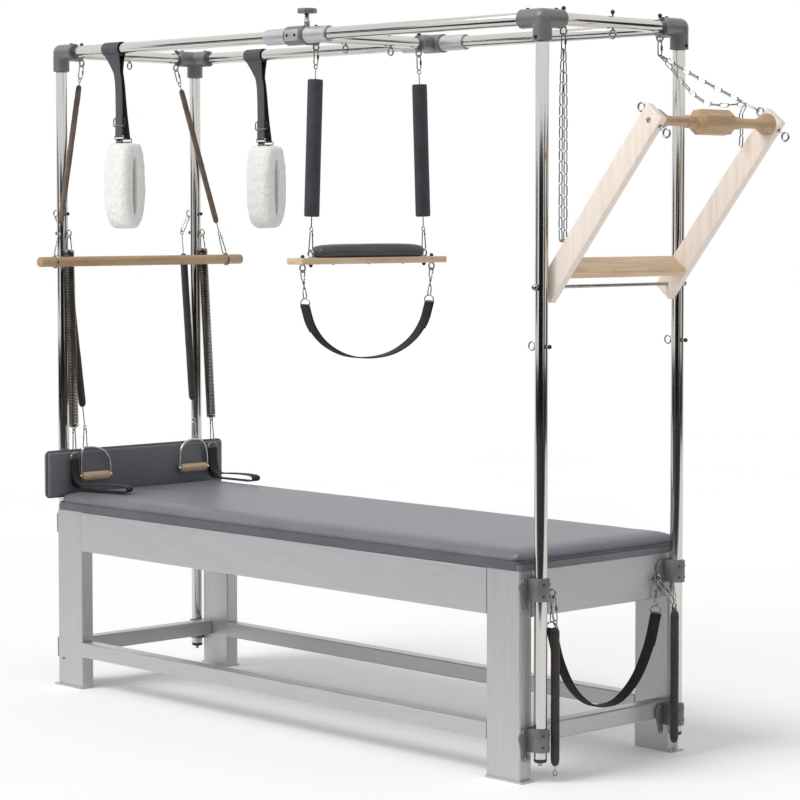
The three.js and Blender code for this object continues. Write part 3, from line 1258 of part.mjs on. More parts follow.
function addArmSprings() {
  for (const [name, side, handleY] of [["near", -1, HANDLE_NEAR_Y], ["far", 1, HANDLE_FAR_Y]]) {
    const top = [ARM_HOOK[0], side * ARM_HOOK[1], ARM_HOOK[2]];
    const foot = [HANDLE_X, side * ARM_LOW_Y, HANDLE_TOP + CARABINER - LINK_WIRE];
    const { length, rotation } = leanFrom(top, foot);
    const slope = length / (top[2] - foot[2]);
    const spring = sleevedSpring({
      diameter: ARM_SLEEVE_DIAMETER,
      sleeveTop: (top[2] - ARM_SLEEVE_TOP) * slope,
      sleeveBottom: (top[2] - ARM_SLEEVE_BOTTOM) * slope,
      length,
      hookWire: LINK_WIRE + ARM_HOOK_PLAY,
    });
    add(`arm_spring_${name}`, spring, darkSleeve, top, rotation);
    addHandle(name, side, handleY);
  }
}

// A handle from the top of its D frame at the origin: frame and hook, and the grip that turns on it
function addHandle(name, side, handleY) {
  const armY = side * ARM_LOW_Y;
  const half = HANDLE_WIDE / 2;
  const [low, shift] = [HANDLE_GRIP_Z - HANDLE_TOP, handleY - armY];
  const corner = HANDLE_WIRE;
  const points = [
    [-corner, 0], [corner, 0], [shift + half, low + GRIP_DIAMETER], [shift + half, low],
    [shift - half, low], [shift - half, low + GRIP_DIAMETER],
  ];
  const frame = wireLoop(points, HANDLE_WIRE, FRAME_SIDES);
  const hook = link(CARABINER + HANDLE_WIRE / 2, LINK_WIDE, LINK_WIRE);
  const body = join(frame, hook.translate(0, 0, CARABINER - LINK_WIRE));
  add(`handle_${name}`, body, zinc, [HANDLE_X, armY, HANDLE_TOP]);
  const tube = new THREE.Shape();
  tube.absarc(0, 0, GRIP_DIAMETER / 2, 0, 2 * Math.PI);
  const bore = new THREE.Path();
  bore.absarc(0, 0, HANDLE_WIRE / 2 + GRIP_WALL_GAP, 0, 2 * Math.PI, true);
  tube.holes.push(bore);
  const grip = alongY(prism(tube, GRIP_LENGTH, 6));
  add(`handle_grip_${name}`, grip, birch, [HANDLE_X, handleY, HANDLE_GRIP_Z]);
}

// Push-through bar, built standing up: S runs up its planks from the pivot, and it is then tilted

const PUSH_ANGLE = THREE.MathUtils.degToRad(90 - PUSH_TILT);

function plank(side) {
  const board = alongY(bar(PLANK_WIDE, PLANK_LENGTH, PLANK_THICK, EDGE_ROUND));
  board.translate(0, 0, PLANK_LENGTH / 2 - PLANK_PIVOT);
  const boreTool = () => alongY(rod(PIVOT_BORE, PLANK_THICK + 2 * OVERRUN, SMALL_ROD_SIDES));
  const barHole = alongY(rod(HANDLE_BAR_DIAMETER + 2 * GAP, PLANK_THICK + 2 * OVERRUN));
  const drilled = cut(board, boreTool(), barHole.translate(0, 0, HANDLE_BAR_S));
  const edge = PLANK_WIDE / 2;
  const upper = ringXZ(EYE_DIAMETER, EYE_WIRE);
  upper.translate(-edge - PLANK_UPPER_EYE, 0, PLANK_EYE_S);
  const upperShank = alongX(rod(EYE_SHANK, 2 * EYE_WIRE, SHANK_SIDES));
  upperShank.translate(EYE_RADIUS - edge - PLANK_UPPER_EYE, 0, PLANK_EYE_S);
  const lower = ringXZ(EYE_DIAMETER, EYE_WIRE);
  lower.translate(edge + PLANK_LOWER_EYE, 0, PLANK_EYE_S);
  const lowerShank = alongX(rod(EYE_SHANK, PLANK_LOWER_EYE, SHANK_SIDES));
  lowerShank.translate(edge + PLANK_LOWER_EYE / 2 - EYE_RADIUS + SINK, 0, PLANK_EYE_S);
  const y = side * (PLANK_INNER_Y + PLANK_THICK / 2);
  return join(drilled, upper, upperShank, lower, lowerShank).translate(0, y, 0);
}

// The handle bar between the planks, flared at its ends and swelling to an eight-sided grip
function handleBar() {
  const [thin, wide] = [HANDLE_BAR_DIAMETER / 2, PLANK_WIDE / 2];
  const grip = GRIP_ACROSS / 2 / Math.cos(Math.PI / GRIP_FACES);
  const reach = PLANK_INNER_Y - GAP;
  const [gripEnd, taperEnd] = [GRIP_SPAN / 2 - GRIP_TAPER, GRIP_SPAN / 2];
  const flareStart = reach - END_FLARE;
  const barProfile = [
    [0, -PLANK_INNER_Y - PLANK_THICK], [thin, -PLANK_INNER_Y - PLANK_THICK], [thin, -reach],
    [wide - EDGE_ROUND, -reach], [wide - EDGE_ROUND, -reach + PLANK_THICK / 2], [thin, -flareStart],
    [thin, flareStart], [wide - EDGE_ROUND, reach - PLANK_THICK / 2], [wide - EDGE_ROUND, reach],
    [thin, reach], [thin, PLANK_INNER_Y + PLANK_THICK], [0, PLANK_INNER_Y + PLANK_THICK],
  ];
  const gripProfile = [
    [0, -taperEnd], [thin, -taperEnd], [grip, -gripEnd], [grip, gripEnd], [thin, taperEnd], [0, taperEnd],
  ];
  const core = turned(barProfile, TUBE_SIDES);
  const eight = turned(gripProfile, GRIP_FACES).rotateZ(Math.PI / GRIP_FACES);
  return alongY(join(core, eight));
}

function addPushBar() {
  const push = new THREE.Group();
  push.position.set(POST_X, 0, PUSH_PIVOT_Z);
  push.rotation.y = PUSH_ANGLE;
  table.add(push);
  const hang = (name, geometry, material, z = 0) => {
    const mesh = add(name, geometry, material, [0, 0, z]);
    push.add(mesh);
  };
  hang("push_plank_near", plank(-1), birch);
  hang("push_plank_far", plank(1), birch);
  const restLong = 2 * (PLANK_INNER_Y - GAP);
  const restHigh = FOOTREST_END - FOOTREST_START;
  const rest = alongY(bar(PLANK_WIDE, restHigh, restLong, EDGE_ROUND));
  hang("push_footrest", rest, birch, (FOOTREST_START + FOOTREST_END) / 2);
  hang("push_handle", handleBar(), birch, HANDLE_BAR_S);
}

// The rod runs through both uprights and both planks, with a nut at each end
function pivotRod() {
  const long = alongY(rod(PIVOT_ROD, 2 * PIVOT_END_Y, SMALL_ROD_SIDES));
  const nuts = [-1, 1].map((side) => {
    const nut = alongY(rod(PIVOT_NUT, PIVOT_NUT_THICK, SCREW_SIDES));
    return nut.translate(0, side * (PIVOT_END_Y - PIVOT_NUT_THICK), 0);
  });
  return join(long, ...nuts);
}

// Chains

// One welded link, longer than its pitch by what its neighbours take
function chainLink(pitch) {
  const half = (CHAIN_WIDE - CHAIN_WIRE) / 2;
  const low = -(pitch + CHAIN_WIRE - CHAIN_BITE);
  return wireLoop([[half, 0], [-half, 0], [-half, low], [half, low]], CHAIN_WIRE);
}

// One straight run of chain from one point to another, as links that alternate a quarter turn
function chainRun(from, to) {
  const start = new THREE.Vector3(...from);
  const line = new THREE.Vector3(...to).sub(start);
  const count = Math.max(1, Math.round(line.length() / CHAIN_PITCH));
  const pitch = line.length() / count;
  const direction = line.clone().normalize();
  const turn = new THREE.Quaternion().setFromUnitVectors(new THREE.Vector3(0, 0, -1), direction);
  const links = [];
  for (let i = 0; i < count; i++) {
    const piece = chainLink(pitch);
    if (i % 2) piece.rotateZ(Math.PI / 2);
    piece.applyQuaternion(turn);
    const spot = start.clone().addScaledVector(direction, pitch * i);
    links.push(piece.translate(spot.x, spot.y, spot.z));
  }
  return links;
}

// A run of chain along a curve through points: each chord is a link
function chainAlong(points) {
  const curve = new THREE.CatmullRomCurve3(points.map((point) => new THREE.Vector3(...point)));
  const count = Math.round(curve.getLength() / CHAIN_PITCH);
  const stops = curve.getSpacedPoints(count);
  const links = [];
  for (let i = 0; i < count; i++) {
    const line = stops[i + 1].clone().sub(stops[i]);
    const down = new THREE.Vector3(0, 0, -1);
    const turn = new THREE.Quaternion().setFromUnitVectors(down, line.clone().normalize());
    const piece = chainLink(line.length());
    if (i % 2) piece.rotateZ(Math.PI / 2);
    piece.translate(0, 0, CHAIN_WIRE / 2).applyQuaternion(turn);
    links.push(piece.translate(stops[i].x, stops[i].y, stops[i].z));
  }
  return links;
}

// A point in the table's frame from a place on the tilted push-through bar
function onPushBar(across, y, s) {
  const [sin, cos] = [Math.sin(PUSH_ANGLE), Math.cos(PUSH_ANGLE)];
  return [POST_X + across * cos + s * sin, y, PUSH_PIVOT_Z - across * sin + s * cos];
}

function addChains() {
  const spread = CHAIN_WIDE * CHAIN_SPREAD;
  const hookZ = CROSSBAR_HOOK_Z;
  const quickLow = -(QUICK_LINK - LINK_WIRE);
  const quick = () => link(QUICK_LINK, LINK_WIDE + LINK_WIRE, LINK_WIRE);
  const strandTop = quickLow + (LINK_WIRE + CHAIN_WIRE) / 2 - CHAIN_BITE;
  const bottom = NEAR_CHAIN_BOTTOM - hookZ;
  const near = [quick()];
  const low = [0, 0, bottom];
  const left = [[0, -CHAIN_WIRE, strandTop], [0, -spread, bottom / 2], [0, -spread, bottom + spread]];
  const right = [[0, CHAIN_WIRE, strandTop], [0, spread, bottom / 2], [0, spread, bottom + spread]];
  near.push(...chainAlong([...left, low, ...right.reverse()]));
  add("chain_near", join(...near), zinc, [POST_X, -CROSS_EYE_Y, hookZ]);
  const eye = onPushBar(-PLANK_WIDE / 2 - PLANK_UPPER_EYE, PLANK_INNER_Y + PLANK_THICK / 2, PLANK_EYE_S);
  const end = new THREE.Vector3(eye[0] - POST_X, eye[1] - CROSS_EYE_Y, eye[2] - hookZ);
  const pull = new THREE.Vector3(0, 0, strandTop).sub(end).normalize();
  const hook = end.clone().addScaledVector(pull, EYE_HOLE - LINK_WIRE / 2 - LEAN_GAP);
  const clipEnd = hook.clone().addScaledVector(pull, strandTop - quickLow - quickLow);
  const clip = quick();
  const { turn } = leanFrom(hook.toArray(), clipEnd.toArray());
  clip.applyQuaternion(turn).translate(hook.x, hook.y, hook.z);
  const last = hook.clone().addScaledVector(pull, -strandTop).toArray();
  const first = [0, 0, strandTop];
  const beneath = [0, CHAIN_WIRE, strandTop];
  const sag = [(first[0] + last[0]) / 2, (first[1] + last[1]) / 2, (first[2] + last[2]) / 2 - FAR_CHAIN_SAG];
  const beside = [last[0], last[1] - PLANK_THICK, last[2] - PLANK_THICK];
  const tail = [beside[0], beside[1], last[2] - FAR_CHAIN_TAIL];
  const far = [quick(), clip];
  far.push(...chainRun(first, last));
  far.push(...chainAlong([beneath, sag, last]));
  far.push(...chainAlong([last, beside, tail]));
  add("chain_far", join(...far), zinc, [POST_X, CROSS_EYE_Y, hookZ]);
}

// Foot springs and safety strap

const FOOT_HOOK_DROP = EYE_HOLE - LINK_WIRE - HOOK_GAP;
const FOOT_HOOK_X = LEG_FACE_X + RAIL_EYE_REACH;

function addFootSprings() {
  const sets = [
    ["near", -1, FOOT_NEAR_TOP, FOOT_NEAR_BOTTOM],
    ["far", 1, FOOT_FAR_TOP, FOOT_FAR_BOTTOM],
  ];
  for (const [name, side, [topX, topY], [bottomX, bottomY]] of sets) {
    const hook = [FOOT_HOOK_X + FOOT_HOOK_SHIFT, side * RAIL_EYE_Y, RAIL_EYE_Z - FOOT_HOOK_DROP];
    const knee = [POST_X + topX, topY, FOOT_SLEEVE_TOP + EYE_END_DIAMETER];
    const upper = leanFrom(hook, knee);
    const clip = link(upper.length + LINK_WIRE, LINK_WIDE, LINK_WIRE).applyQuaternion(upper.turn);
    const foot = [POST_X + bottomX, bottomY, FOOT_SLEEVE_BOTTOM];
    const lower = leanFrom(knee, foot);
    const drop = EYE_END_DIAMETER;
    const spring = sleevedSpring({
      diameter: FOOT_SLEEVE_DIAMETER,
      sleeveTop: drop,
      sleeveBottom: lower.length,
      length: lower.length + FOOT_END_LOOP,
      hookWire: SPRING_HOOK_WIRE,
    }).applyQuaternion(lower.turn);
    spring.translate(knee[0] - hook[0], knee[1] - hook[1], knee[2] - hook[2]);
    add(`foot_spring_${name}`, join(clip, spring), darkSleeve, hook);
  }
}

function addSafetyStrap() {
  const fallShares = [[1, 1], [0.86, 0.62], [0.62, 0.27], [0.3, 0.05], [0, 0]];
  const top = SAFETY_TOP_Y;
  const fall = SAFETY_TOP_Z - SAFETY_LOW_Z;
  const down = fallShares.map(([y, z]) => [-top * y, SAFETY_LOW_Z + fall * z]);
  const up = fallShares.slice(0, -1).reverse().map(([y, z]) => [top * y, SAFETY_LOW_Z + fall * z]);
  const pieces = [ribbon([...down, ...up], STRAP_THICK, STRAP_WIDE)];
  const hookTop = RAIL_EYE_Z - FOOT_HOOK_DROP;
  const ringTop = SAFETY_TOP_Z + D_RING_HIGH;
  const length = hookTop - ringTop + LINK_WIRE;
  for (const side of [-1, 1]) {
    pieces.push(dRing(STRAP_WIDE + D_RING_WIRE).translate(0, side * top, SAFETY_TOP_Z));
    const place = [0, side * RAIL_EYE_Y, hookTop];
    const { turn } = leanFrom(place, [0, side * top, hookTop - length]);
    pieces.push(snapHook(length + LINK_WIRE).applyQuaternion(turn).translate(...place));
  }
  add("safety_strap", join(...pieces), webbing, [FOOT_HOOK_X - FOOT_HOOK_SHIFT, 0, 0]);
}

addLegs();
addRails();
addMat();
addHeadboard();
addUprights();
addCanopy();
addCrossbar();
addTrapeze();
addSling();
addRollDown();
addFleeceLoops();
addLegSprings();
addArmSprings();
addPushBar();
add("push_pivot_rod", pivotRod(), zinc, [POST_X, 0, PUSH_PIVOT_Z]);
addChains();
addFootSprings();
addSafetyStrap();

// The finished model stands on Z = 0 with the middle of its outer box over the origin
table.updateMatrixWorld(true);
const outerBox = new THREE.Box3().setFromObject(table, true);
const middle = outerBox.getCenter(new THREE.Vector3());
const model = new THREE.Group();
model.add(table);
table.position.set(-middle.x, -middle.y, -outerBox.min.z);

export default model;
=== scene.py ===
# %% [markdown]
# # A pilates trapeze table
#
# The CAD frame gives every solid its place and its joints. This notebook dresses that frame: it
# models the parts that the eye reads as round, woven, padded or wooden, and gives each its finish.
# All lengths below are in millimetres from the middle of the bench, as in a workshop drawing, and
# `at` turns them into metres in the model's frame.

import math

import bpy
import numpy as np
from mathutils import Matrix, Vector, noise


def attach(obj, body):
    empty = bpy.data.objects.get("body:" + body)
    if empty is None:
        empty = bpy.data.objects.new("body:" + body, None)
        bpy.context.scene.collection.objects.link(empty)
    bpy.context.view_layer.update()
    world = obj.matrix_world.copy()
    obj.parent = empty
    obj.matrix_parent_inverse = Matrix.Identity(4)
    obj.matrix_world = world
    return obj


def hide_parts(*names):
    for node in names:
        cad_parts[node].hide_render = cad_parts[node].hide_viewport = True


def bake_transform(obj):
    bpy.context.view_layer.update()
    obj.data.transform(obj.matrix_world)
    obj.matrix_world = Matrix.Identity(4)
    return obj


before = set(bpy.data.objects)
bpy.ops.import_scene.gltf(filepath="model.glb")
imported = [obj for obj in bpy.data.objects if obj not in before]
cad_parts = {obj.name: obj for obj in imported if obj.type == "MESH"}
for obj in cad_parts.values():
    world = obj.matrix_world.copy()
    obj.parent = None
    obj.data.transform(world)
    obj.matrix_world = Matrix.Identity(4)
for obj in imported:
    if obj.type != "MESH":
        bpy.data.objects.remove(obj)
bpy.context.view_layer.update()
MM = 0.001
MIDDLE_X = -194.323
QUARTER = math.pi / 2
NEAR, FAR = -1, 1
SIDES = ((NEAR, "near"), (FAR, "far"))
ENDS = ((-1, "head"), (1, "foot"))
FRAME = "table_frame"
TUBE_RADIUS = 19


def at(x, y, z):
    """A place in millimetres from the middle of the bench on the floor, as a place in the model."""
    return Vector(((x + MIDDLE_X) * MM, y * MM, z * MM))


# %% [markdown]
# ## Camera
#
# The photograph was taken from the near side of the foot end, about a metre above the mat, with a
# long lens. Its place was worked out from the edges of the bench, so it is written as numbers.

# %% Camera
bpy.ops.object.camera_add(location=(6.062477, -5.7042, 1.616))
camera = bpy.context.object
camera.name = "photo_camera"
camera.rotation_euler = (math.pi / 2 - 0.0545, 0, 0.8119)
camera.data.lens = 119.26
camera.data.sensor_width = 36
camera.data.shift_y = -0.0534
bpy.context.scene.camera = camera

# %% [markdown]
# ## Studio
#
# A catalogue picture has a white sweep and soft light. A floor that reaches the horizon takes the
# shadow, and one broad sun from the near side gives the direction. The white world, the floor's
# paint and the dark cards that the polished tubes reflect come at the end of the notebook.

# %% Floor and sun
SUN_STRENGTH = 1.8
bpy.ops.mesh.primitive_plane_add(size=80, location=(0, 0, 0))
floor = bpy.context.object
floor.name = "floor"

bpy.ops.object.light_add(type="SUN", rotation=(math.radians(42), 0, math.radians(-16)))
sun = bpy.context.object
sun.name = "soft_sun"
sun.data.energy = SUN_STRENGTH
sun.data.angle = math.radians(34)

bpy.context.scene.view_settings.view_transform = "Standard"

# %% [markdown]
# ## Finishes
#
# Each finish is a Principled shader whose colour, roughness and bump come from noise on Object
# coordinates, so that the pattern stays on the piece. `finish` makes the common case: two near
# colours mottled at one scale, with a fine bump at another.

# %% Helpers for finishes


def linear(code):
    """A colour written as six hex digits, as the shader wants it."""
    shares = [int(code[i : i + 2], 16) / 255 for i in (0, 2, 4)]
    return (*[s / 12.92 if s <= 0.04045 else ((s + 0.055) / 1.055) ** 2.4 for s in shares], 1)


def add_node(material, kind, settings=None, **inputs):
    """A shader node with its settings, and its inputs set or linked."""
    node = material.node_tree.nodes.new("ShaderNode" + kind)
    for key, value in (settings or {}).items():
        setattr(node, key, value)
    for key, value in inputs.items():
        socket = node.inputs[key.replace("_", " ")]
        if isinstance(value, bpy.types.NodeSocket):
            material.node_tree.links.new(value, socket)
        else:
            socket.default_value = value
    return node


def blank(name):
    """A new material, its Principled shader and the call that links two sockets in it."""
    material = bpy.data.materials.new(name)
    material.use_nodes = True
    tree = material.node_tree
    return material, tree.nodes["Principled BSDF"], tree.links.new


def place_of(material, scale, turn=(0, 0, 0), source="Object"):
    """The vector that a pattern reads, stretched and turned on the piece."""
    where = add_node(material, "TexCoord")
    return add_node(
        material, "Mapping", Vector=where.outputs[source], Scale=scale, Rotation=turn
    ).outputs["Vector"]


def mottle(material, vector, dark, light, scale, detail=4.0, low=0.3, high=0.7):
    """Two colours blended by noise; gives the colour and the noise."""
    cloud = add_node(material, "TexNoise", Vector=vector, Scale=scale, Detail=detail)
    ramp = add_node(material, "ValToRGB", Fac=cloud.outputs["Fac"])
    ramp.color_ramp.elements[0].position = low
    ramp.color_ramp.elements[0].color = linear(dark)
    ramp.color_ramp.elements[1].position = high
    ramp.color_ramp.elements[1].color = linear(light)
    return ramp.outputs["Color"], cloud.outputs["Fac"]


def finish(name, dark, light, roughness, metallic=0.0, scale=12.0, stretch=(1, 1, 1),
           spread=0.06, bump_scale=900.0, bump=0.05, deep=0.0002, **sockets):
    """A mottled finish with fine bump, its roughness varying by spread about its middle."""
    material, shader, link = blank(name)
    shader.inputs["Metallic"].default_value = metallic
    for key, value in sockets.items():
        shader.inputs[key.replace("_", " ")].default_value = value
    vector = place_of(material, stretch)
    colour, cloud = mottle(material, vector, dark, light, scale)
    link(colour, shader.inputs["Base Color"])
    rough = add_node(material, "MapRange", Value=cloud, From_Min=0.3, From_Max=0.7,
                     To_Min=roughness - spread, To_Max=roughness + spread)
    link(rough.outputs["Result"], shader.inputs["Roughness"])
    if bump:
        fine = add_node(material, "TexNoise", Vector=vector, Scale=bump_scale, Detail=3.0)
        relief = add_node(material, "Bump", Strength=bump, Distance=deep,
                          Height=fine.outputs["Fac"])
        link(relief.outputs["Normal"], shader.inputs["Normal"])
    return material


# %% [markdown]
# ### Metals
#
# The bench is aluminium brushed along its bars and lacquered, the canopy is polished stainless
# tube, and the fittings are sprayed in a mid-grey enamel. Brushing is noise drawn out many times
# along one axis.

# %% Metals
brushed_rails, brushed_posts, brushed_ends = (
    finish("brushed_" + part, dark, light, 0.4, 0.75, scale=1.0, stretch=stretch, bump_scale=3.0,
           bump=0.08)
    for part, dark, light, stretch in (("rails", "bdbfc0", "c9cbcc", (9, 420, 420)),
                                       ("posts", "bdbfc0", "c9cbcc", (420, 420, 9)),
                                       ("ends", "b9bbbc", "c6c8c9", (420, 9, 420)))
)
stainless_tall, stainless_long, stainless_cross = (
    finish("stainless_" + way, "cbc8c4", "d3d1cd", 0.12, 1.0, scale=1.0, stretch=stretch,
           spread=0.012, bump=0)
    for way, stretch in (("tall", (90, 90, 1.5)), ("long", (1.5, 90, 90)),
                         ("cross", (90, 1.5, 90)))
)
enamel = finish("grey_enamel", "6d6f6e", "787a79", 0.42, 0.25, scale=9.0, bump_scale=500.0,
                bump=0.1, Coat_Weight=0.2)
silver_enamel = finish("silver_enamel", "b9bcbf", "c9ccce", 0.36, 0.5, scale=9.0,
                       bump_scale=600.0, bump=0.08)
zinc = finish("bright_zinc", "8f8f8d", "b3b2af", 0.22, 1.0, scale=60.0, spread=0.08, bump=0)
bright_steel = finish("bright_steel", "c2c2c0", "d8d7d4", 0.18, 1.0, scale=60.0, spread=0.05,
                      bump=0)
spring_steel = finish("oiled_spring_steel", "45413d", "615b54", 0.33, 0.9, scale=25.0,
                      spread=0.08, bump=0)
black_plastic = finish("black_plastic", "18181a", "232325", 0.4, scale=40.0,
                       bump_scale=700.0, bump=0.1)
foam_skin = finish("foam_skin", "37383d", "44454b", 0.62, scale=30.0, bump_scale=1400.0,
                   bump=0.3, deep=0.0003, Specular_IOR_Level=0.35)
thread_black = finish("black_thread", "0d0d0e", "1b1b1c", 0.7, scale=400.0, bump=0)
thread_grey = finish("grey_thread", "47484d", "5b5c62", 0.7, scale=400.0, bump=0)

# %% [markdown]
# ### Wood
#
# The planks, bars and grips are pale beech or birch under a matt lacquer. The grain is noise that
# runs far along the board and fast across it, with a second, finer set of pores over it. Each
# board has its own turn, so that the grain follows its length.

# %% Wood


def wood(name, stretch, turn=(0, 0, 0), dark="c9a883", light="e6d0b2", grain=0.55):
    """Wood whose grain is stretched along the board; grain is how much the pores darken it."""
    material, shader, link = blank(name)
    vector = place_of(material, stretch, turn)
    colour, cloud = mottle(material, vector, dark, light, 5.0, 6.0, 0.25, 0.75)
    pores, fine = mottle(material, vector, "d8cab8", "ffffff", 26.0, 3.0, 0.32, 0.46)
    tinted = add_node(material, "Mix", {"data_type": "RGBA", "blend_type": "MULTIPLY"})
    tinted.inputs["Factor"].default_value = grain
    link(colour, tinted.inputs[6])
    link(pores, tinted.inputs[7])
    link(tinted.outputs[2], shader.inputs["Base Color"])
    rough = add_node(material, "MapRange", Value=cloud, To_Min=0.38, To_Max=0.56)
    link(rough.outputs["Result"], shader.inputs["Roughness"])
    relief = add_node(material, "Bump", Strength=0.12, Distance=0.0003, Height=fine)
    link(relief.outputs["Normal"], shader.inputs["Normal"])
    shader.inputs["Coat Weight"].default_value = 0.12
    shader.inputs["Coat Roughness"].default_value = 0.35
    return material


PUSH_LEAN = math.radians(39)  # the push-through bar leans this far at rest
wood_across = wood("wood_across", (14, 0.8, 14))
wood_planks = wood("wood_planks", (14, 14, 0.8), (0, -PUSH_LEAN, 0), "eadacb", "f7ece2", 0.2)
wood_handle = wood("wood_handle", (14, 0.8, 14), dark="a98a66", light="c9a985")

# %% [markdown]
# ### Upholstery, fleece and webbing
#
# The mat is covered in a mid-grey vinyl: small cells make its pebbled grain, slow noise its folds.
# Fleece is white pile with a soft sheen. Webbing is a ribbed weave that follows the strap's own
# UV map, which the straps below keep in metres.

# %% Upholstery, fleece and webbing


def pebbled(name, dark, light, roughness):
    """Vinyl with a pebbled skin and faint folds."""
    material, shader, link = blank(name)
    vector = place_of(material, (1, 1, 1))
    colour, cloud = mottle(material, vector, dark, light, 5.0, 5.0)
    link(colour, shader.inputs["Base Color"])
    cells = add_node(material, "TexVoronoi", {"feature": "SMOOTH_F1"}, Vector=vector, Scale=620.0)
    folds = add_node(material, "TexNoise", Vector=vector, Scale=34.0, Detail=5.0)
    both = add_node(material, "Math", {"operation": "MULTIPLY_ADD"})
    both.inputs[1].default_value = 0.5
    link(folds.outputs["Fac"], both.inputs[0])
    link(cells.outputs["Distance"], both.inputs[2])
    relief = add_node(material, "Bump", Strength=0.22, Distance=0.0004, Height=both.outputs[0])
    link(relief.outputs["Normal"], shader.inputs["Normal"])
    rough = add_node(material, "MapRange", Value=cloud, To_Min=roughness - 0.05,
                     To_Max=roughness + 0.07)
    link(rough.outputs["Result"], shader.inputs["Roughness"])
    shader.inputs["Specular IOR Level"].default_value = 0.5
    return material


RIBS = 520.0


def woven(name, dark, light):
    """Webbing: ribs across the strap, broken by a twill that runs at a slant."""
    material, shader, link = blank(name)
    vector = place_of(material, (1, 1, 1), source="UV")
    rib = add_node(material, "TexWave", {"bands_direction": "X"}, Vector=vector, Scale=RIBS / 6)
    slant = add_node(material, "TexWave", {"bands_direction": "DIAGONAL"}, Vector=vector,
                     Scale=RIBS / 5)
    both = add_node(material, "Math", {"operation": "MULTIPLY"})
    link(rib.outputs["Fac"], both.inputs[0])
    link(slant.outputs["Fac"], both.inputs[1])
    ramp = add_node(material, "ValToRGB", Fac=both.outputs[0])
    ramp.color_ramp.elements[0].color = linear(dark)
    ramp.color_ramp.elements[1].color = linear(light)
    link(ramp.outputs["Color"], shader.inputs["Base Color"])
    relief = add_node(material, "Bump", Strength=0.5, Distance=0.0004, Height=both.outputs[0])
    link(relief.outputs["Normal"], shader.inputs["Normal"])
    shader.inputs["Roughness"].default_value = 0.78
    shader.inputs["Sheen Weight"].default_value = 0.06
    return material


vinyl = pebbled("grey_vinyl", "696a71", "74757d", 0.38)
vinyl_border = pebbled("border_vinyl", "56575e", "606168", 0.42)
vinyl_dark = pebbled("charcoal_vinyl", "3f4046", "4b4c53", 0.42)
webbing_black = woven("black_webbing", "0e0e0f", "222223")
webbing_charcoal = woven("charcoal_webbing", "45464b", "66676d")
fleece_pile = finish("fleece_pile", "f3f2ee", "fefdfb", 0.95, scale=90.0, bump_scale=420.0,
                     bump=0.9, deep=0.002, Sheen_Weight=0.6, Specular_IOR_Level=0.1)
sleeve_brown = finish("brown_sleeve_cloth", "5a4a41", "75655b", 0.72, scale=40.0,
                      bump_scale=1500.0, bump=0.35, Sheen_Weight=0.2)
sleeve_dark = finish("dark_sleeve_cloth", "241e1b", "3a322d", 0.68, scale=40.0,
                     bump_scale=1500.0, bump=0.35, Sheen_Weight=0.2)
print("finishes", len(bpy.data.materials))

# %% [markdown]
# ## Tools for the bench
#
# A small set of tools, each a few Blender operators: a round bar with softened rims, a turned
# piece, a bevelled board, a cut-out plate, a bent wire and a strap. Templates are made at the
# origin, then moved to their places in their mesh, because the frame wants objects unturned.

# %% Selecting, joining and placing


def pick(*things):
    """Selects pieces; the first is the active one."""
    bpy.ops.object.select_all(action="DESELECT")
    for thing in things:
        thing.select_set(True)
    bpy.context.view_layer.objects.active = things[0]
    return things[0]


def settle(thing):
    """Puts a piece's place into its mesh and shades it smooth up to a fold of 40 degrees."""
    pick(thing)
    bpy.ops.object.transform_apply(location=True, rotation=True, scale=True)
    bpy.ops.object.shade_smooth_by_angle(angle=math.radians(40))
    return thing


def moved(thing, matrix):
    """Moves a piece's mesh by a matrix, and leaves the object at the origin."""
    thing.data.transform(matrix)
    thing.data.update()
    return thing


def twin(thing, matrix=None):
    """A copy with its own mesh, moved by a matrix."""
    pick(thing)
    bpy.ops.object.duplicate()
    copy = bpy.context.object
    return moved(copy, matrix) if matrix else copy


def joined(*things):
    """Makes one piece of several."""
    if len(things) == 1:
        return things[0]
    pick(*things)
    bpy.ops.object.join()
    return bpy.context.object


def drop(*things):
    """Deletes templates that have served."""
    for thing in things:
        bpy.data.objects.remove(thing)


def applied(thing, kind, **settings):
    """Adds a modifier, sets it and applies it."""
    pick(thing)
    modifier = thing.modifiers.new(kind.lower(), kind)
    for key, value in settings.items():
        setattr(modifier, key, value)
    bpy.ops.object.modifier_apply(modifier=modifier.name)
    return thing


def keep(thing, name, coat, body, slot, *stands_for):
    """Names a finished piece and says what it is made of, what it moves with and stands for."""
    thing.name = name
    thing.data.materials.clear()
    thing.data.materials.append(coat)
    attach(thing, body)
    if stands_for:
        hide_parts(*stands_for)
    return thing


def bright(thing, name, body=FRAME, *stands_for):
    """Keeps a piece of bright wire or a bright screw."""
    return keep(thing, name, zinc, body, "zinc_wire", *stands_for)


def black(thing, name, body=FRAME):
    """Keeps a black cap, nut or grub screw."""
    return keep(thing, name, black_plastic, body, "black_rubber")


def lean(top, foot):
    """The turn that swings a piece hanging straight down from top until it points at foot."""
    return Vector((0, 0, -1)).rotation_difference((foot - top).normalized())


TO_WALL = Matrix(((0, 0, 1, 0), (1, 0, 0, 0), (0, 1, 0, 0), (0, 0, 0, 1)))


def about(axis, angle=QUARTER):
    """The matrix of a turn about an axis through the origin."""
    return Matrix.Rotation(angle, 4, axis)


def facing(axis, angle):
    """The same turn as a quaternion."""
    return Matrix.Rotation(angle, 3, axis).to_quaternion()


def stand(place, turn=None):
    """The matrix that puts a template at a place, turned by a quaternion."""
    matrix = Matrix.Translation(place)
    return matrix @ turn.to_matrix().to_4x4() if turn else matrix


# %% Bars, boards, plates, wires and straps


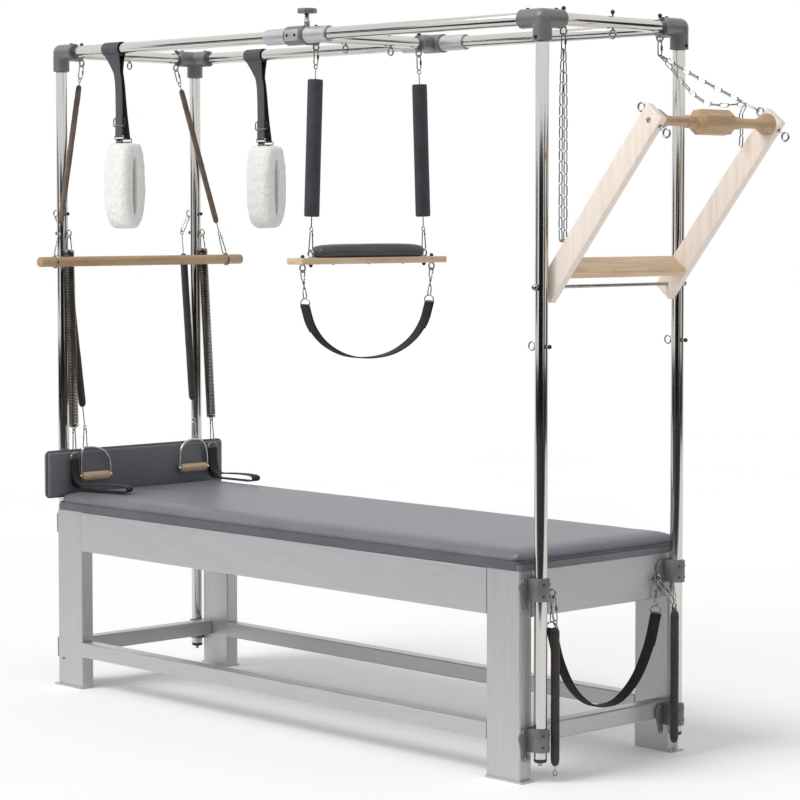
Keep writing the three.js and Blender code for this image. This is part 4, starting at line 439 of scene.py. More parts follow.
def close_up():
    """Turns every face of the picked piece outward and leaves edit mode."""
    bpy.ops.object.mode_set(mode="EDIT")
    bpy.ops.mesh.select_all(action="SELECT")
    bpy.ops.mesh.normals_make_consistent(inside=False)
    bpy.ops.object.mode_set(mode="OBJECT")


def soften(edge, segments=3, sharp=50):
    """In edit mode: bevels the edges that fold more than sharp degrees."""
    bpy.ops.object.mode_set(mode="EDIT")
    bpy.ops.mesh.select_mode(type="EDGE")
    bpy.ops.mesh.select_all(action="DESELECT")
    bpy.ops.mesh.edges_select_sharp(sharpness=math.radians(sharp))
    bpy.ops.mesh.bevel(offset=edge * MM, offset_type="OFFSET", segments=segments, affect="EDGES")
    bpy.ops.object.mode_set(mode="OBJECT")


def rod(start, end, radius, rim=0.8, sides=40):
    """A round bar between two places in metres, its radius in millimetres."""
    line = end - start
    bpy.ops.mesh.primitive_cylinder_add(
        vertices=sides, radius=radius * MM, depth=line.length, location=(start + end) / 2,
        rotation=line.to_track_quat("Z", "Y").to_euler(),
    )
    soften(rim, 2)
    return settle(bpy.context.object)


def tube(start, end):
    """A canopy tube."""
    return rod(start, end, TUBE_RADIUS, 0.5, 64)


def turned(profile, sides=32):
    """A turned piece about Z: [radius, height] pairs in millimetres, from one end to the other."""
    (first, low), rest = profile[0], profile[1:]
    bpy.ops.mesh.primitive_circle_add(
        vertices=sides, radius=first * MM, fill_type="NGON", location=(0, 0, low * MM)
    )
    bpy.ops.object.mode_set(mode="EDIT")
    radius, height = first, low
    for wide, high in rest:
        bpy.ops.mesh.extrude_region_move(
            TRANSFORM_OT_translate={"value": (0, 0, (high - height) * MM)}
        )
        bpy.ops.transform.resize(value=(wide / radius, wide / radius, 1))
        radius, height = wide, high
    close_up()
    return settle(bpy.context.object)


def board(size, centre, edge, turn=None):
    """A rectangular board with rounded edges: size in millimetres, centre in metres."""
    bpy.ops.mesh.primitive_cube_add(size=MM, location=(0, 0, 0), scale=size)
    thing = bpy.context.object
    bpy.ops.object.transform_apply(location=False, rotation=False, scale=True)
    soften(edge)
    return moved(settle(thing), stand(centre, turn))


def plate(outline, thick, edge=0.8):
    """A plate cut to an outline of [x, y] in millimetres, its middle plane on Z = 0."""
    bpy.ops.mesh.primitive_circle_add(vertices=len(outline), radius=MM, fill_type="NGON")
    thing = bpy.context.object
    order = sorted(
        thing.data.vertices, key=lambda v: math.atan2(v.co.y, v.co.x) % (2 * math.pi)
    )
    for vertex, (x, y) in zip(order, outline):
        vertex.co = (x * MM, y * MM, -thick * MM / 2)
    bpy.ops.object.mode_set(mode="EDIT")
    bpy.ops.mesh.extrude_region_move(TRANSFORM_OT_translate={"value": (0, 0, thick * MM)})
    close_up()
    if edge:
        soften(edge, 2, 60)
    return settle(thing)


def wire(points, thick, closed=False, sides=4):
    """A wire bent along points in millimetres; thick is its diameter. Curves swept round."""
    curve = bpy.data.curves.new("wire", "CURVE")
    curve.dimensions = "3D"
    curve.bevel_depth = thick * MM / 2
    curve.bevel_resolution = sides
    curve.use_fill_caps = True
    line = curve.splines.new("POLY")
    line.points.add(len(points) - 1)
    for point, place in zip(line.points, points):
        point.co = (*[value * MM for value in place], 1)
    line.use_cyclic_u = closed
    thing = bpy.data.objects.new("wire", curve)
    bpy.context.scene.collection.objects.link(thing)
    pick(thing)
    bpy.ops.object.convert(target="MESH")
    thing = bpy.context.object
    close_up()
    return settle(thing)


def arc(centre, radius, start, end, steps):
    """Points of an arc in the YZ plane, angles in degrees from +Y."""
    angles = [math.radians(start + (end - start) * i / steps) for i in range(steps + 1)]
    return [(0, centre[0] + radius * math.cos(a), centre[1] + radius * math.sin(a))
            for a in angles]


def length_of(line):
    """The length of a line of vectors."""
    return sum((q - p).length for p, q in zip(line, line[1:]))


def evenly(line, steps):
    """Places at even steps along a line of vectors."""
    far = np.cumsum([0] + [(q - p).length for p, q in zip(line, line[1:])])
    flat = np.array([list(p) for p in line])
    marks = np.linspace(0, far[-1], steps + 1)
    return [Vector([np.interp(m, far, flat[:, k]) for k in range(3)]) for m in marks]


def strap(line, across, widths, thick):
    """Webbing laid along a line of places in metres. Its UV map is in metres."""
    steps = len(line) - 1
    bpy.ops.mesh.primitive_grid_add(x_subdivisions=steps, y_subdivisions=4, size=1)
    thing = bpy.context.object
    far = [0.0]
    for here, there in zip(line, line[1:]):
        far.append(far[-1] + (there - here).length)
    widths = widths if isinstance(widths, list) else [widths] * len(line)
    for vertex in thing.data.vertices:
        i = round((vertex.co.x + 0.5) * steps)
        vertex.co = line[i] + across * (vertex.co.y * widths[i] * MM)
    wide = max(widths) * MM
    for spot in thing.data.uv_layers.active.data:
        spot.uv = (spot.uv[0] * far[-1], spot.uv[1] * wide)
    applied(thing, "SOLIDIFY", thickness=thick * MM, offset=0)
    applied(thing, "BEVEL", width=thick * MM * 0.24, segments=2, limit_method="ANGLE",
            angle_limit=math.radians(60))
    return settle(thing)


def rounded_line(points, steps):
    """A smooth line through points (Catmull-Rom), as evenly spaced vectors."""
    ends = [2 * points[0] - points[1], *points, 2 * points[-1] - points[-2]]
    fine = []
    for a, b, c, d in zip(ends, ends[1:], ends[2:], ends[3:]):
        for i in range(24):
            t = i / 24
            fine.append(0.5 * (2 * b + (c - a) * t + (2 * a - 5 * b + 4 * c - d) * t * t
                               + (3 * b - a - 3 * c + d) * t * t * t))
    fine.append(points[-1])
    return evenly(fine, steps)


def scattered(template, matrices):
    """One mesh made of a template repeated at each matrix."""
    places = np.array([[*v.co, 1.0] for v in template.data.vertices])
    faces = [list(face.vertices) for face in template.data.polygons]
    everywhere = np.concatenate([places @ np.array(matrix).T for matrix in matrices])[:, :3]
    mesh = bpy.data.meshes.new("scattered")
    mesh.from_pydata(
        everywhere.tolist(), [],
        [[i + k * len(places) for i in face] for k in range(len(matrices)) for face in faces],
    )
    thing = bpy.data.objects.new("scattered", mesh)
    bpy.context.scene.collection.objects.link(thing)
    return settle(thing)


# %% [markdown]
# ## Hanging hardware
#
# Every spring and strap hangs on bent-wire hardware: eyebolts with a ball nut, quick links,
# carabiners with a spring gate, and snap hooks with a swivel. Each is bent once as a wire.

# %% Eyebolts, links and hooks
EYE_RADIUS = 11.75
EYE_WIRE = 5.5
LINK_WIRE = 4
EYE_END = 7


def eyebolt(reach=33, nut_reach=31, thick=EYE_WIRE):
    """Its shank runs along Z through the origin, its ring hangs below with its hole along Y."""
    ring = wire([(y, 0, z - reach) for _, y, z in arc((0, 0), EYE_RADIUS, 90, 430, 28)], thick)
    neck = turned([[3.9, EYE_RADIUS - reach - 1.5], [3.9, EYE_RADIUS - reach + 1.5],
                   [3, EYE_RADIUS - reach + 3.5], [3, nut_reach]], 16)
    ball = turned([[3, nut_reach - 6.3], [5.2, nut_reach - 4], [6.5, nut_reach],
                   [5.4, nut_reach + 3.8], [3, nut_reach + 6], [0.5, nut_reach + 6.5]], 20)
    return joined(ring, neck), ball


def oval(length, width, thick):
    """The closed line of a link that hangs from its top wire's centre."""
    radius = (width - thick) / 2
    low = -(length - thick)
    upper = arc((0, -radius), radius, 0, 180, 10)
    lower = arc((0, low + radius), radius, 180, 360, 10)
    return upper + lower


def quick_link(length=52, width=20):
    """An oval link with its threaded nut on one side."""
    loop = wire(oval(length, width, LINK_WIRE), LINK_WIRE, True)
    nut = turned([[2.2, -7], [3.6, -6.4], [3.6, 6.4], [2.2, 7]], 6)
    spot = Vector((0, (width - LINK_WIRE) / 2 * MM, -(length - LINK_WIRE) / 2 * MM))
    return joined(loop, moved(nut, stand(spot)))


def carabiner(length=68, width=20, thick=LINK_WIRE):
    """Pear-shaped, wide at its lower end, with a gate along one side and a knurl at its nose."""
    radius = (width - thick) / 2
    low = -(length - thick)
    small = radius * 0.62
    outline = arc((0, -small), small, 0, 180, 8) + arc((0, low + radius), radius, 180, 360, 10)
    loop = wire(outline, thick, True)
    nose = turned([[2.2, -3], [3.1, -2.4], [3.1, 2.4], [2.2, 3]], 12)
    spot = Vector((0, (small + 0.6) * MM, (-small - 7) * MM))
    pivot = turned([[2.6, -1.6], [2.9, 0], [2.6, 1.6]], 12)
    pin = Vector((0, radius * 0.96 * MM, (low + radius + 6) * MM))
    return joined(loop, moved(nose, stand(spot)), moved(pivot, stand(pin)))


def end_eye(z):
    """The wire eye that ends a spring, its hole along Y."""
    return wire([(y, 0, h + z) for _, y, h in arc((0, 0), EYE_END, 0, 345, 20)], LINK_WIRE)


def snap_hook(length):
    """Hook loop at the top with its gate, swivel barrel, and the eye that takes the D ring."""
    loop = 0.4 * length
    eye_top = -(length - loop)
    radius = 8
    hook = wire(
        [(0, -1.5, -loop + 5), (0, -radius, -loop + 13)]
        + arc((0, -radius), radius, 180, -30, 12)
        + [(0, radius - 0.5, -radius - 9), (0, radius - 3.5, -radius - 12)], LINK_WIRE,
    )
    gate = wire([(0, radius - 3, -radius - 10), (0, 2.5, -loop + 4)], LINK_WIRE * 0.6)
    thumb = wire([(0, 3, -loop + 8), (0, 8, -loop + 10)], LINK_WIRE * 0.6)
    barrel = turned([[3, -loop - 5], [4.6, -loop - 4], [4.6, -loop + 3], [3, -loop + 6]], 16)
    stem = rod(Vector((0, 0, (-loop - 4) * MM)), Vector((0, 0, (eye_top - 3) * MM)), 2.4)
    cuff = turned([[3, eye_top - 2], [4.2, eye_top - 1], [4.2, eye_top + 3], [3, eye_top + 4]], 16)
    side, low = 5.5, eye_top + 8 - loop
    bow = [(0, side, eye_top - 4), (0, side + 1.5, low + 5), (0, side, low), (0, -side, low),
           (0, -side - 1.5, low + 5), (0, -side, eye_top - 4), (0, 0, eye_top)]
    return joined(hook, gate, thumb, barrel, stem, cuff, wire(bow, LINK_WIRE, True))


LOOSE = 0.6


def spring_metal(length, hook_wire):
    """The eyes and stem of a sleeved spring that hangs from the wire it hooks on."""
    top_eye = -(EYE_END - hook_wire / 2)
    low_eye = -length - top_eye
    stem = rod(Vector((0, 0, (top_eye - EYE_END) * MM)), Vector((0, 0, (low_eye + EYE_END) * MM)),
               2, 0.2, 12)
    return joined(end_eye(top_eye), end_eye(low_eye), stem)


def sleeve(diameter, top, bottom, seed):
    """A spring's cloth sleeve, drawn in at both ends and a little uneven."""
    r, tip = diameter / 2, 0.45 * diameter / 2
    profile = [[tip, -bottom + 1], [tip * 1.25, -bottom + 2], [r * 0.9, -bottom + r * 0.7],
               [r, -bottom + r * 1.5]]
    rings = max(10, round((bottom - top) / 9))
    profile += [[r, -bottom + r * 1.5 + (bottom - top - 3 * r) * (i + 1) / (rings + 1)]
                for i in range(rings)]
    profile += [[r, -top - r * 1.5], [r * 0.9, -top - r * 0.7], [tip * 1.25, -top - 2],
                [tip, -top - 1]]
    cloth = turned(profile, 28)
    for vertex in cloth.data.vertices:
        swell = noise.noise(vertex.co * 55 + Vector((top, seed, 0)))
        out = Vector((vertex.co.x, vertex.co.y, 0)).normalized()
        vertex.co += out * (swell - 0.4) * LOOSE * MM
    return cloth


def hung(template, place, turn=None):
    """A copy of a template at a place."""
    return twin(template, stand(place, turn))


LINK_REACH, CLIP_REACH = 48, 64  # from the wire they hang on to the wire that hangs on them
link_template, clip_template = quick_link(), carabiner()
bolt_template, nut_template = eyebolt()
print("hardware templates made")

# %% [markdown]
# ## Bench frame
#
# Legs, rails and stretchers are box sections welded together. Their CAD solids have the right
# shape, so they stay and only take the brushed finish, with the brushing along each bar.

# %% Bench frame finishes
POST_X, POST_Y, CANOPY_Z = 1128.8, 292.5, 2160
IN_SOCKET = 32
EYE_Y = 206
HOOK_Z = 2120.5
ALONG = ["side_rail_near", "side_rail_far", "side_stretcher_near", "side_stretcher_far"]
ACROSS = ["head_rail", "foot_rail", "head_stretcher", "foot_stretcher"]
LEGS = ["head_leg_near", "head_leg_far", "foot_leg_near", "foot_leg_far"]


def coat(node, material):
    """Gives a CAD solid that stays its finish."""
    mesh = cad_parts[node].data
    mesh.materials.clear()
    mesh.materials.append(material)


for names, material in ((ALONG, brushed_rails), (ACROSS, brushed_ends), (LEGS, brushed_posts)):
    for node in names:
        coat(node, material)
coat("mat_board", vinyl)
coat("headboard_board", vinyl)

# %% [markdown]
# ## Canopy tubes
#
# Polished tube catches light in long lines, so each tube is turned round with 64 sides.
# The uprights end in a black cap and a levelling bolt under the lower clamp.

# %% Uprights and rails
for side, word in SIDES:
    for end, place in ENDS:
        x, y = end * POST_X, side * POST_Y
        keep(tube(at(x, y, 68), at(x, y, 2130)), f"{place}_tube_{word}", stainless_tall, FRAME,
             "canopy_tube", f"{place}_upright_{word}")
        cap = turned([[14, 59], [17, 60], [19.2, 64], [19.2, 70]], 40)
        black(moved(cap, stand(at(x, y, 0))), f"{place}_cap_{word}")
        bolt = turned([[5, 49], [6, 50], [6, 57], [8.5, 57.2], [8.5, 59.5]], 24)
        bright(moved(bolt, stand(at(x, y, 0))), f"{place}_foot_bolt_{word}")
    rail = tube(at(-POST_X + IN_SOCKET, side * POST_Y, CANOPY_Z),
                at(POST_X - IN_SOCKET, side * POST_Y, CANOPY_Z))
    keep(rail, f"long_tube_{word}", stainless_long, FRAME, "canopy_tube", f"top_rail_{word}")


def bolts_at(name, spots, body, turn=None, templates=None):
    """Eyebolts and their black ball nuts at several places, as two pieces."""
    ring, ball = templates or (bolt_template, nut_template)
    rings = joined(*[hung(ring, spot, turn) for spot in spots])
    balls = joined(*[hung(ball, spot, turn) for spot in spots])
    bright(rings, f"{name}_eyebolts", body)
    black(balls, f"{name}_ball_nuts", body)


for end, place in ENDS:
    cross = tube(at(end * POST_X, -POST_Y + IN_SOCKET, CANOPY_Z),
                 at(end * POST_X, POST_Y - IN_SOCKET, CANOPY_Z))
    keep(cross, f"{place}_short_tube", stainless_cross, FRAME, "canopy_tube", f"{place}_cross_tube")
    spots = [at(end * POST_X, y, CANOPY_Z) for y in (-EYE_Y, 0, EYE_Y)]
    bolts_at(f"{place}_tube", spots, FRAME)

# %% [markdown]
# ### Eyebolts through the uprights
#
# The arm springs and leg springs hang from longer eyebolts that pass through the head uprights,
# one facing out of the table and one facing in. Each foot upright has one that faces in.

# %% Upright eyebolts
LONG_REACH = 37.5
long_bolt = eyebolt(LONG_REACH, 31, 4.6)
for side, word in SIDES:
    facing_out = facing("Y", QUARTER)
    facing_in = facing("Y", -QUARTER)
    for name, x, z, turn in (("outer", -POST_X, 1612, facing_out),
                             ("inner", -POST_X, 1545, facing_in),
                             ("foot", POST_X, 1240, facing_out)):
        bolts_at(f"{name}_{word}", [at(x, side * POST_Y, z)], FRAME, turn, long_bolt)
    lean_in = facing("X", -side * math.asin(32 / 64))
    hook = hung(clip_template, at(-POST_X - LONG_REACH, side * POST_Y, 1604.5), lean_in)
    bright(hook, f"arm_carabiner_{word}")

# %% [markdown]
# ## Corner fittings
#
# Each corner is a casting with three sockets that run into one another without an edge. Three
# turned sockets and a ball are joined and remeshed as one skin, which is then smoothed, so the
# roots get the fillets that a casting has. Grub screws hold the tubes.

# %% Corner fittings
SOCKET = 27.5


def socket(reach):
    """One arm of a casting, with a thicker rim."""
    return turned([[SOCKET - 1, 0], [SOCKET, 1], [SOCKET, reach - 5], [SOCKET + 0.8, reach - 4],
                   [SOCKET + 0.8, reach - 1], [SOCKET - 1, reach]], 48)


long_arm = moved(socket(79), about("Y"))
cross_arm = moved(socket(79), about("X", -QUARTER))
drop_arm = moved(socket(65), about("X", math.pi))
bpy.ops.mesh.primitive_uv_sphere_add(segments=40, ring_count=20, radius=SOCKET * MM)
corner = joined(long_arm, cross_arm, drop_arm, bpy.context.object)
applied(corner, "REMESH", mode="VOXEL", voxel_size=0.0021, use_smooth_shade=True)
applied(corner, "SMOOTH", factor=0.6, iterations=5)
settle(corner)
grub = turned([[2.2, -2], [2.2, 0.5], [5.3, 0.6], [5.5, 2.2], [4.6, 2.8], [2.6, 2.8], [2.4, 1]], 20)
screws = joined(
    hung(grub, Vector((-SOCKET * MM, 0, -0.054)), facing("Y", -QUARTER)),
    hung(grub, Vector((0.057, 0, SOCKET * MM))),
    hung(grub, Vector((0, 0.057, SOCKET * MM))),
)
for name, end, side, turn in (("head_corner_near", -1, NEAR, 0), ("foot_corner_near", 1, NEAR, 1),
                              ("foot_corner_far", 1, FAR, 2), ("head_corner_far", -1, FAR, -1)):
    matrix = stand(at(end * POST_X, side * POST_Y, CANOPY_Z)) @ about("Z", turn * QUARTER)
    keep(twin(corner, matrix), name + "_casting", enamel, FRAME, "corner_casting", name)
    black(twin(screws, matrix), name + "_screws")
print("corner casting faces", len(corner.data.polygons))
drop(corner, screws)

# %% [markdown]
# ## Clamps
#
# Two clamps hold each upright to the bench. Each is a saddle round the tube on a flat flange that
# is cut to a sloping tongue, with a screw at each end and two grub screws in the saddle.

# %% Clamps
SADDLE_RADIUS, SADDLE_HIGH = 26, 65
FLANGE_FACE = -0.0255
CLAMP_HEIGHTS = (121.5, 551.5)
outline = [(-31.5, SADDLE_RADIUS)] + [
    (SADDLE_RADIUS * math.sin(a), SADDLE_RADIUS * math.cos(a))
    for a in [math.pi * i / 20 for i in range(21)]
] + [(-31.5, -SADDLE_RADIUS)]
saddle = plate(outline, SADDLE_HIGH, 1.2)
flange = plate([(0, 32.5), (-46, 32.5), (-52, 26), (-60, 10), (-42, -51.5), (-40, -57),
                (-34, -59.5), (-28, -57), (-26, -51.5), (-26, -32.5), (0, -32.5)], 6, 1)
moved(flange, stand(Vector((-0.0285, 0, 0))) @ TO_WALL)
clamp = joined(saddle, flange)
outward = facing("Y", QUARTER)
dome = turned([[5.5, -1], [5.6, 1.4], [4.2, 3], [2.2, 3.4], [1.9, 2]], 20)
fixings = joined(*[hung(dome, Vector((FLANGE_FACE, y, z)), outward)
                   for y, z in ((-0.044, 0.0245), (-0.034, -0.0515))])
grubs = joined(*[
    twin(grub, about("Z", math.radians(turn)) @ stand(Vector((0.0252, 0, z)), outward)
         @ Matrix.Scale(0.62, 4)) for z in (-0.017, 0.017) for turn in (-28, 28)
])
for side, word in SIDES:
    for end, place in ENDS:
        turn = about("Z", math.pi if end < 0 else 0)
        spots = [stand(at(end * POST_X, side * POST_Y, z)) @ turn for z in CLAMP_HEIGHTS]
        clamps, heads, pins = (joined(*[twin(template, spot) for spot in spots])
                               for template in (clamp, fixings, grubs))
        keep(clamps, f"{place}_clamps_{word}", enamel, FRAME, "corner_casting")
        bright(heads, f"{place}_clamp_screws_{word}")
        black(pins, f"{place}_clamp_grubs_{word}")
drop(clamp, fixings, grubs)

# %% [markdown]
# ## Eyes on the foot rail
#
# The foot springs and the safety strap hook into two screwed eyes in the foot rail, under the mat.

# %% Rail eyes
RAIL_FACE = 1097
for side, word in SIDES:
    ring = wire([(y, 0, z) for _, y, z in arc((0, 0), EYE_RADIUS, 90, 430, 28)], EYE_WIRE)
    shank = turned([[3.6, 10.5], [3.6, 13], [7, 13.4], [7, 15.2], [3, 15.3], [3, 22]], 20)
    eye = joined(ring, moved(shank, about("Y", -QUARTER)))
    bright(moved(eye, stand(at(RAIL_FACE + 15, side * 227, 533))), f"rail_eye_{word}")

# %% [markdown]
# ## Sliding crossbar
#
# Two sleeves run on the long tubes, each with a tee collar round its middle and a socket for the
# bar. A flat pad on the outside of each collar carries two black screws, and a boss on the near
# one takes the locking knob.

# %% Crossbar
BAR_X = 97
BOSS_X = 39
BODY = "sliding_crossbar"
bar = tube(at(BAR_X, -POST_Y + 30, CANOPY_Z), at(BAR_X, POST_Y - 30, CANOPY_Z))
keep(bar, "crossbar_tube", stainless_cross, BODY, "canopy_tube", "crossbar")
bolts_at("crossbar", [at(BAR_X, y, CANOPY_Z) for y in (-220, -97, 97, 220)], BODY)


def collar(radius, bore, long, rim=1.2):
    """A hollow collar about X: its outside, its end faces and a bore that clears the tube."""
    half = long / 2
    tube = turned([[bore, -half], [radius - rim, -half], [radius, rim - half],
                   [radius, half - rim], [radius - rim, half], [bore, half]], 56)
    pick(tube)
    bpy.ops.object.mode_set(mode="EDIT")
    bpy.ops.mesh.select_mode(type="FACE")
    bpy.ops.mesh.select_all(action="DESELECT")
    bpy.ops.object.mode_set(mode="OBJECT")
    for face in tube.data.polygons:
        face.select = len(face.vertices) > 4
    bpy.ops.object.mode_set(mode="EDIT")
    bpy.ops.mesh.delete(type="ONLY_FACE")
    bpy.ops.mesh.select_mode(type="EDGE")
    bpy.ops.mesh.select_non_manifold()
    bpy.ops.mesh.bridge_edge_loops()
    close_up()
    return moved(settle(tube), about("Y"))


sleeves, tees, heads = [], [], []
for side in (NEAR, FAR):
    spot = stand(at(BAR_X, side * POST_Y, CANOPY_Z))
    sleeves.append(moved(collar(25, 19.6, 285), spot))
    tees.append(moved(collar(30, 24.9, 85, 2), spot))
    arm = turned([[27, 24], [28, 26], [28, 68], [28.8, 69], [28.8, 71], [27.4, 72]], 48)
    inward = about("X", QUARTER * side)
    tees.append(moved(arm, spot @ inward))
    pad = board((62, 8, 34), Vector((0, side * 0.0285, 0)), 2.5)
    sleeves.append(moved(pad, spot))
    outwards = about("X", -QUARTER * side)
    for x in (-0.018, 0.018):
        heads.append(twin(grub, spot @ stand(Vector((x, side * 0.0325, 0))) @ outwards
                          @ Matrix.Scale(0.82, 4)))
boss = turned([[9.5, 22], [9.5, 27], [8.5, 28.5], [8.5, 34.5], [7.6, 36]], 32)
tees.append(moved(boss, stand(at(BAR_X + BOSS_X, -POST_Y, CANOPY_Z))))
keep(joined(*sleeves), "crossbar_sleeves", silver_enamel, BODY, "corner_casting")
keep(joined(*tees), "crossbar_tees", enamel, BODY, "corner_casting")
black(joined(*heads), "crossbar_screws", BODY)

# %% [markdown]
# ### Locking knob
#
# A seven-lobed hand knob: its disc is cut to the lobed outline, bevelled so the hand finds no
# edge, and sunk at the top; its hub and threaded stud run down into the boss.

# %% Locking knob
LOBES = 7
outline = []
for a in [2 * math.pi * i / 84 for i in range(84)]:
    reach = 31 - 1.5 * (1 - math.cos(LOBES * a))
    outline.append((reach * math.cos(a), reach * math.sin(a)))
knob_spot = stand(at(BAR_X + BOSS_X, -POST_Y, 2226))
disc = moved(plate(outline, 15, 2.4), stand(Vector((0, 0, 0.0075))))
dish = turned([[9, 14.4], [10.5, 15.3], [11.5, 15.6], [12.5, 15.2], [13, 14.4]], 36)
keep(moved(joined(disc, dish), knob_spot), "knob_disc", enamel, "knob",
     "black_rubber", "lock_knob")
hub = turned([[3, -36.5], [3, -29.5], [9.5, -29.3], [9.5, -24], [7, -20], [7, -6], [9, 0.5]], 32)
bright(moved(hub, knob_spot), "knob_hub", "knob")

# %% [markdown]
# ## Trapeze
#
# Two springs in foam sleeves hang a padded wooden bar from the crossbar. The foam is a straight
# tube cut square, so its ends are flat with a soft rim; the spring inside ends in wire eyes.

# %% Trapeze springs
BODY = "trapeze"


def along(top, foot, distance):
    """The place at a distance in millimetres from top toward foot."""
    return top + (foot - top).normalized() * distance * MM


foam = turned([[11, -469.5], [20.5, -469.3], [23.2, -467.6], [24, -464.5], [24, -370], [23.8, -270],
               [24, -170], [24, -49.5], [23.2, -46.4], [20.5, -44.7], [11, -44.5]], 48)
for side, word in SIDES:
    top, foot = at(BAR_X, side * 220, HOOK_Z), at(BAR_X, side * 244, 1494.5)
    turn, long = lean(top, foot), (foot - top).length / MM
    start = along(top, foot, LINK_REACH)
    keep(twin(foam, stand(start, turn)), f"trapeze_foam_{word}", foam_skin, BODY, "spring_sleeve",
         f"trapeze_spring_{word}")
    eyes = moved(spring_metal(long - LINK_REACH - CLIP_REACH, 2.8), stand(start, turn))
    hardware = joined(eyes, hung(link_template, top, turn),
                      hung(clip_template, along(top, foot, long - CLIP_REACH), turn))
    bright(hardware, f"trapeze_hardware_{word}", BODY)
drop(foam)

# %% [markdown]
# ### Trapeze board
#
# A solid wooden bar with fully rounded edges, drilled for four eyebolts: the outer pair faces down
# for the sling and the inner pair faces up for the springs. Screws hold the pad from below.

# %% Trapeze board
BOARD_Z = 1466
keep(board((76, 622, 20), at(BAR_X, 0, BOARD_Z), 3), "trapeze_bar", wood_across, BODY, "pale_wood",
     "trapeze_board")
short_bolt = eyebolt(22, 13.25)
over = facing("X", math.pi)
bolts_at("trapeze_lower", [at(BAR_X, y, BOARD_Z) for y in (-278, 278)], BODY, None, short_bolt)
bolts_at("trapeze_upper", [at(BAR_X, y, BOARD_Z) for y in (-244, 244)], BODY, over, short_bolt)
bright(joined(*[hung(dome, at(BAR_X, y, 1456.4), over) for y in (-150, 0, 150)]), "trapeze_screws",
       BODY)
drop(*short_bolt)

# %% [markdown]
# ## Sling and safety strap
#
# Both are one length of black webbing whose ends are folded back through a D ring and sewn down
# with a boxed cross. They hang in a curve that is nearly flat at the bottom, because the webbing
# is stiff. The stitches are modelled, since they are what the eye looks for on webbing.

# %% Hanging straps
stitch = board((2.6, 0.7, 0.7), Vector((0, 0, 0)), 0.2)
STITCH_STEP = 0.0042
WEB_FACE = 1.7
STRAP_WIDE = 38


def sewn(line, across, name, body, both=True):
    """A box of stitches with a cross in it, along a piece of a strap, on one or both faces."""
    side = across * (STRAP_WIDE / 2 - 4) * MM
    matrices = []
    middle = rounded_line(line, 12)
    normals = [(q - p).normalized().cross(across).normalized() for p, q in zip(middle, middle[1:])]
    low, high = middle[1], middle[-2]
    paths = [[p + side for p in middle[1:-1]], [p - side for p in middle[1:-1]],
             [low - side, low + side], [high - side, high + side],
             [low - side, middle[6], high + side], [low + side, middle[6], high - side]]
    for sign in ((1, -1) if both else (1,)):
        for path in paths:
            spaced = rounded_line(path, max(3, round(length_of(path) / STITCH_STEP)))
            for p, q in zip(spaced, spaced[1:]):
                nearest = min(range(len(normals)), key=lambda i: (middle[i] - p).length)
                out = normals[nearest] * sign
                along_it = (q - p).normalized()
                lying = Matrix((along_it, out.cross(along_it), out)).transposed().to_4x4()
                lying.translation = (p + q) / 2 + out * WEB_FACE * MM
                matrices.append(lying)
    keep(scattered(stitch, matrices), name, thread_grey, body, "webbing")


def d_ring(width, high, thick):
    """A D ring standing in the XZ plane: its bar at the bottom, its bow above."""
    half = width / 2 - thick / 2
    bow = [(half * math.cos(a), 0, (high - thick) * (0.25 + 0.75 * math.sin(a)))
           for a in [math.pi * i / 14 for i in range(15)]]
    return wire([(half - 2, 0, 0), *bow, (-half + 2, 0, 0)], thick, True)


def hanging_strap(name, body, node, x, half, low, high, shares, hook_y, hook_z, hook_long, ring_z):
    """A sling of webbing with doubled ends, its D rings and its snap hooks.

    The webbing hangs from half on either side, its lowest point at low and its ends high above
    that; shares give its curve. The hooks go from hook_y, hook_z to the rings at ring_z.
    """
    points = [at(x, -half * s, low + high * h) for s, h in shares]
    points += [at(x, half * s, low + high * h) for s, h in shares[-2::-1]]
    line = rounded_line(points, 120)
    across = Vector((1, 0, 0))
    bands, metal = [strap(line, across, STRAP_WIDE, 4)], []
    for (side, word), part in zip(SIDES, (line[:18], line[::-1][:18])):
        inner = []
        for p, q in zip(part, part[1:]):
            inward = (q - p).normalized().cross(across)
            inner.append(p + inward * (-side) * 3.6 * MM)
        fold = part[0] + Vector((0, 0, 0.004))
        turned_up = [part[0], fold, fold + (inner[0] - part[0]), *inner]
        bands.append(strap(turned_up, across, STRAP_WIDE, 3))
        sewn(inner[3:], across, f"{name}_seam_{word}", body)
        metal.append(moved(d_ring(46, 24, 4), stand(at(x, side * half, low + high + 2))))
        top, foot = at(x, side * hook_y, hook_z), at(x, side * half, ring_z + 4)
        metal.append(moved(snap_hook(hook_long), stand(top, lean(top, foot))))
    webbing = keep(joined(*bands), name + "_webbing", webbing_black, body, "webbing", node)
    bright(joined(*metal), name + "_hooks", body)
    run = length_of(line)
    print(name, "length", round(run, 3))
    return webbing, run


SLING_SHARES = [(1, 1), (0.9, 0.62), (0.7, 0.3), (0.38, 0.07), (0, 0)]
SAFETY_SHARES = [(1, 1), (0.86, 0.62), (0.62, 0.27), (0.3, 0.05), (0, 0)]
sling, run = hanging_strap("sling", "sling", "trapeze_sling", BAR_X, half=267, low=1157, high=171,
                           shares=SLING_SHARES, hook_y=278, hook_z=1437.9, hook_long=95.9,
                           ring_z=1340)
safety, run = hanging_strap("safety_strap", "strap", "safety_strap", 1108.7, half=224, low=182,
                            high=246, shares=SAFETY_SHARES, hook_y=227, hook_z=528.5,
                            hook_long=84.5, ring_z=440)

# %% [markdown]
# ## Roll-down bar
#
# A round birch bar hangs from the head of the canopy on two thin springs in cloth sleeves. A wire
# collar round each end of the bar takes the lower hook.

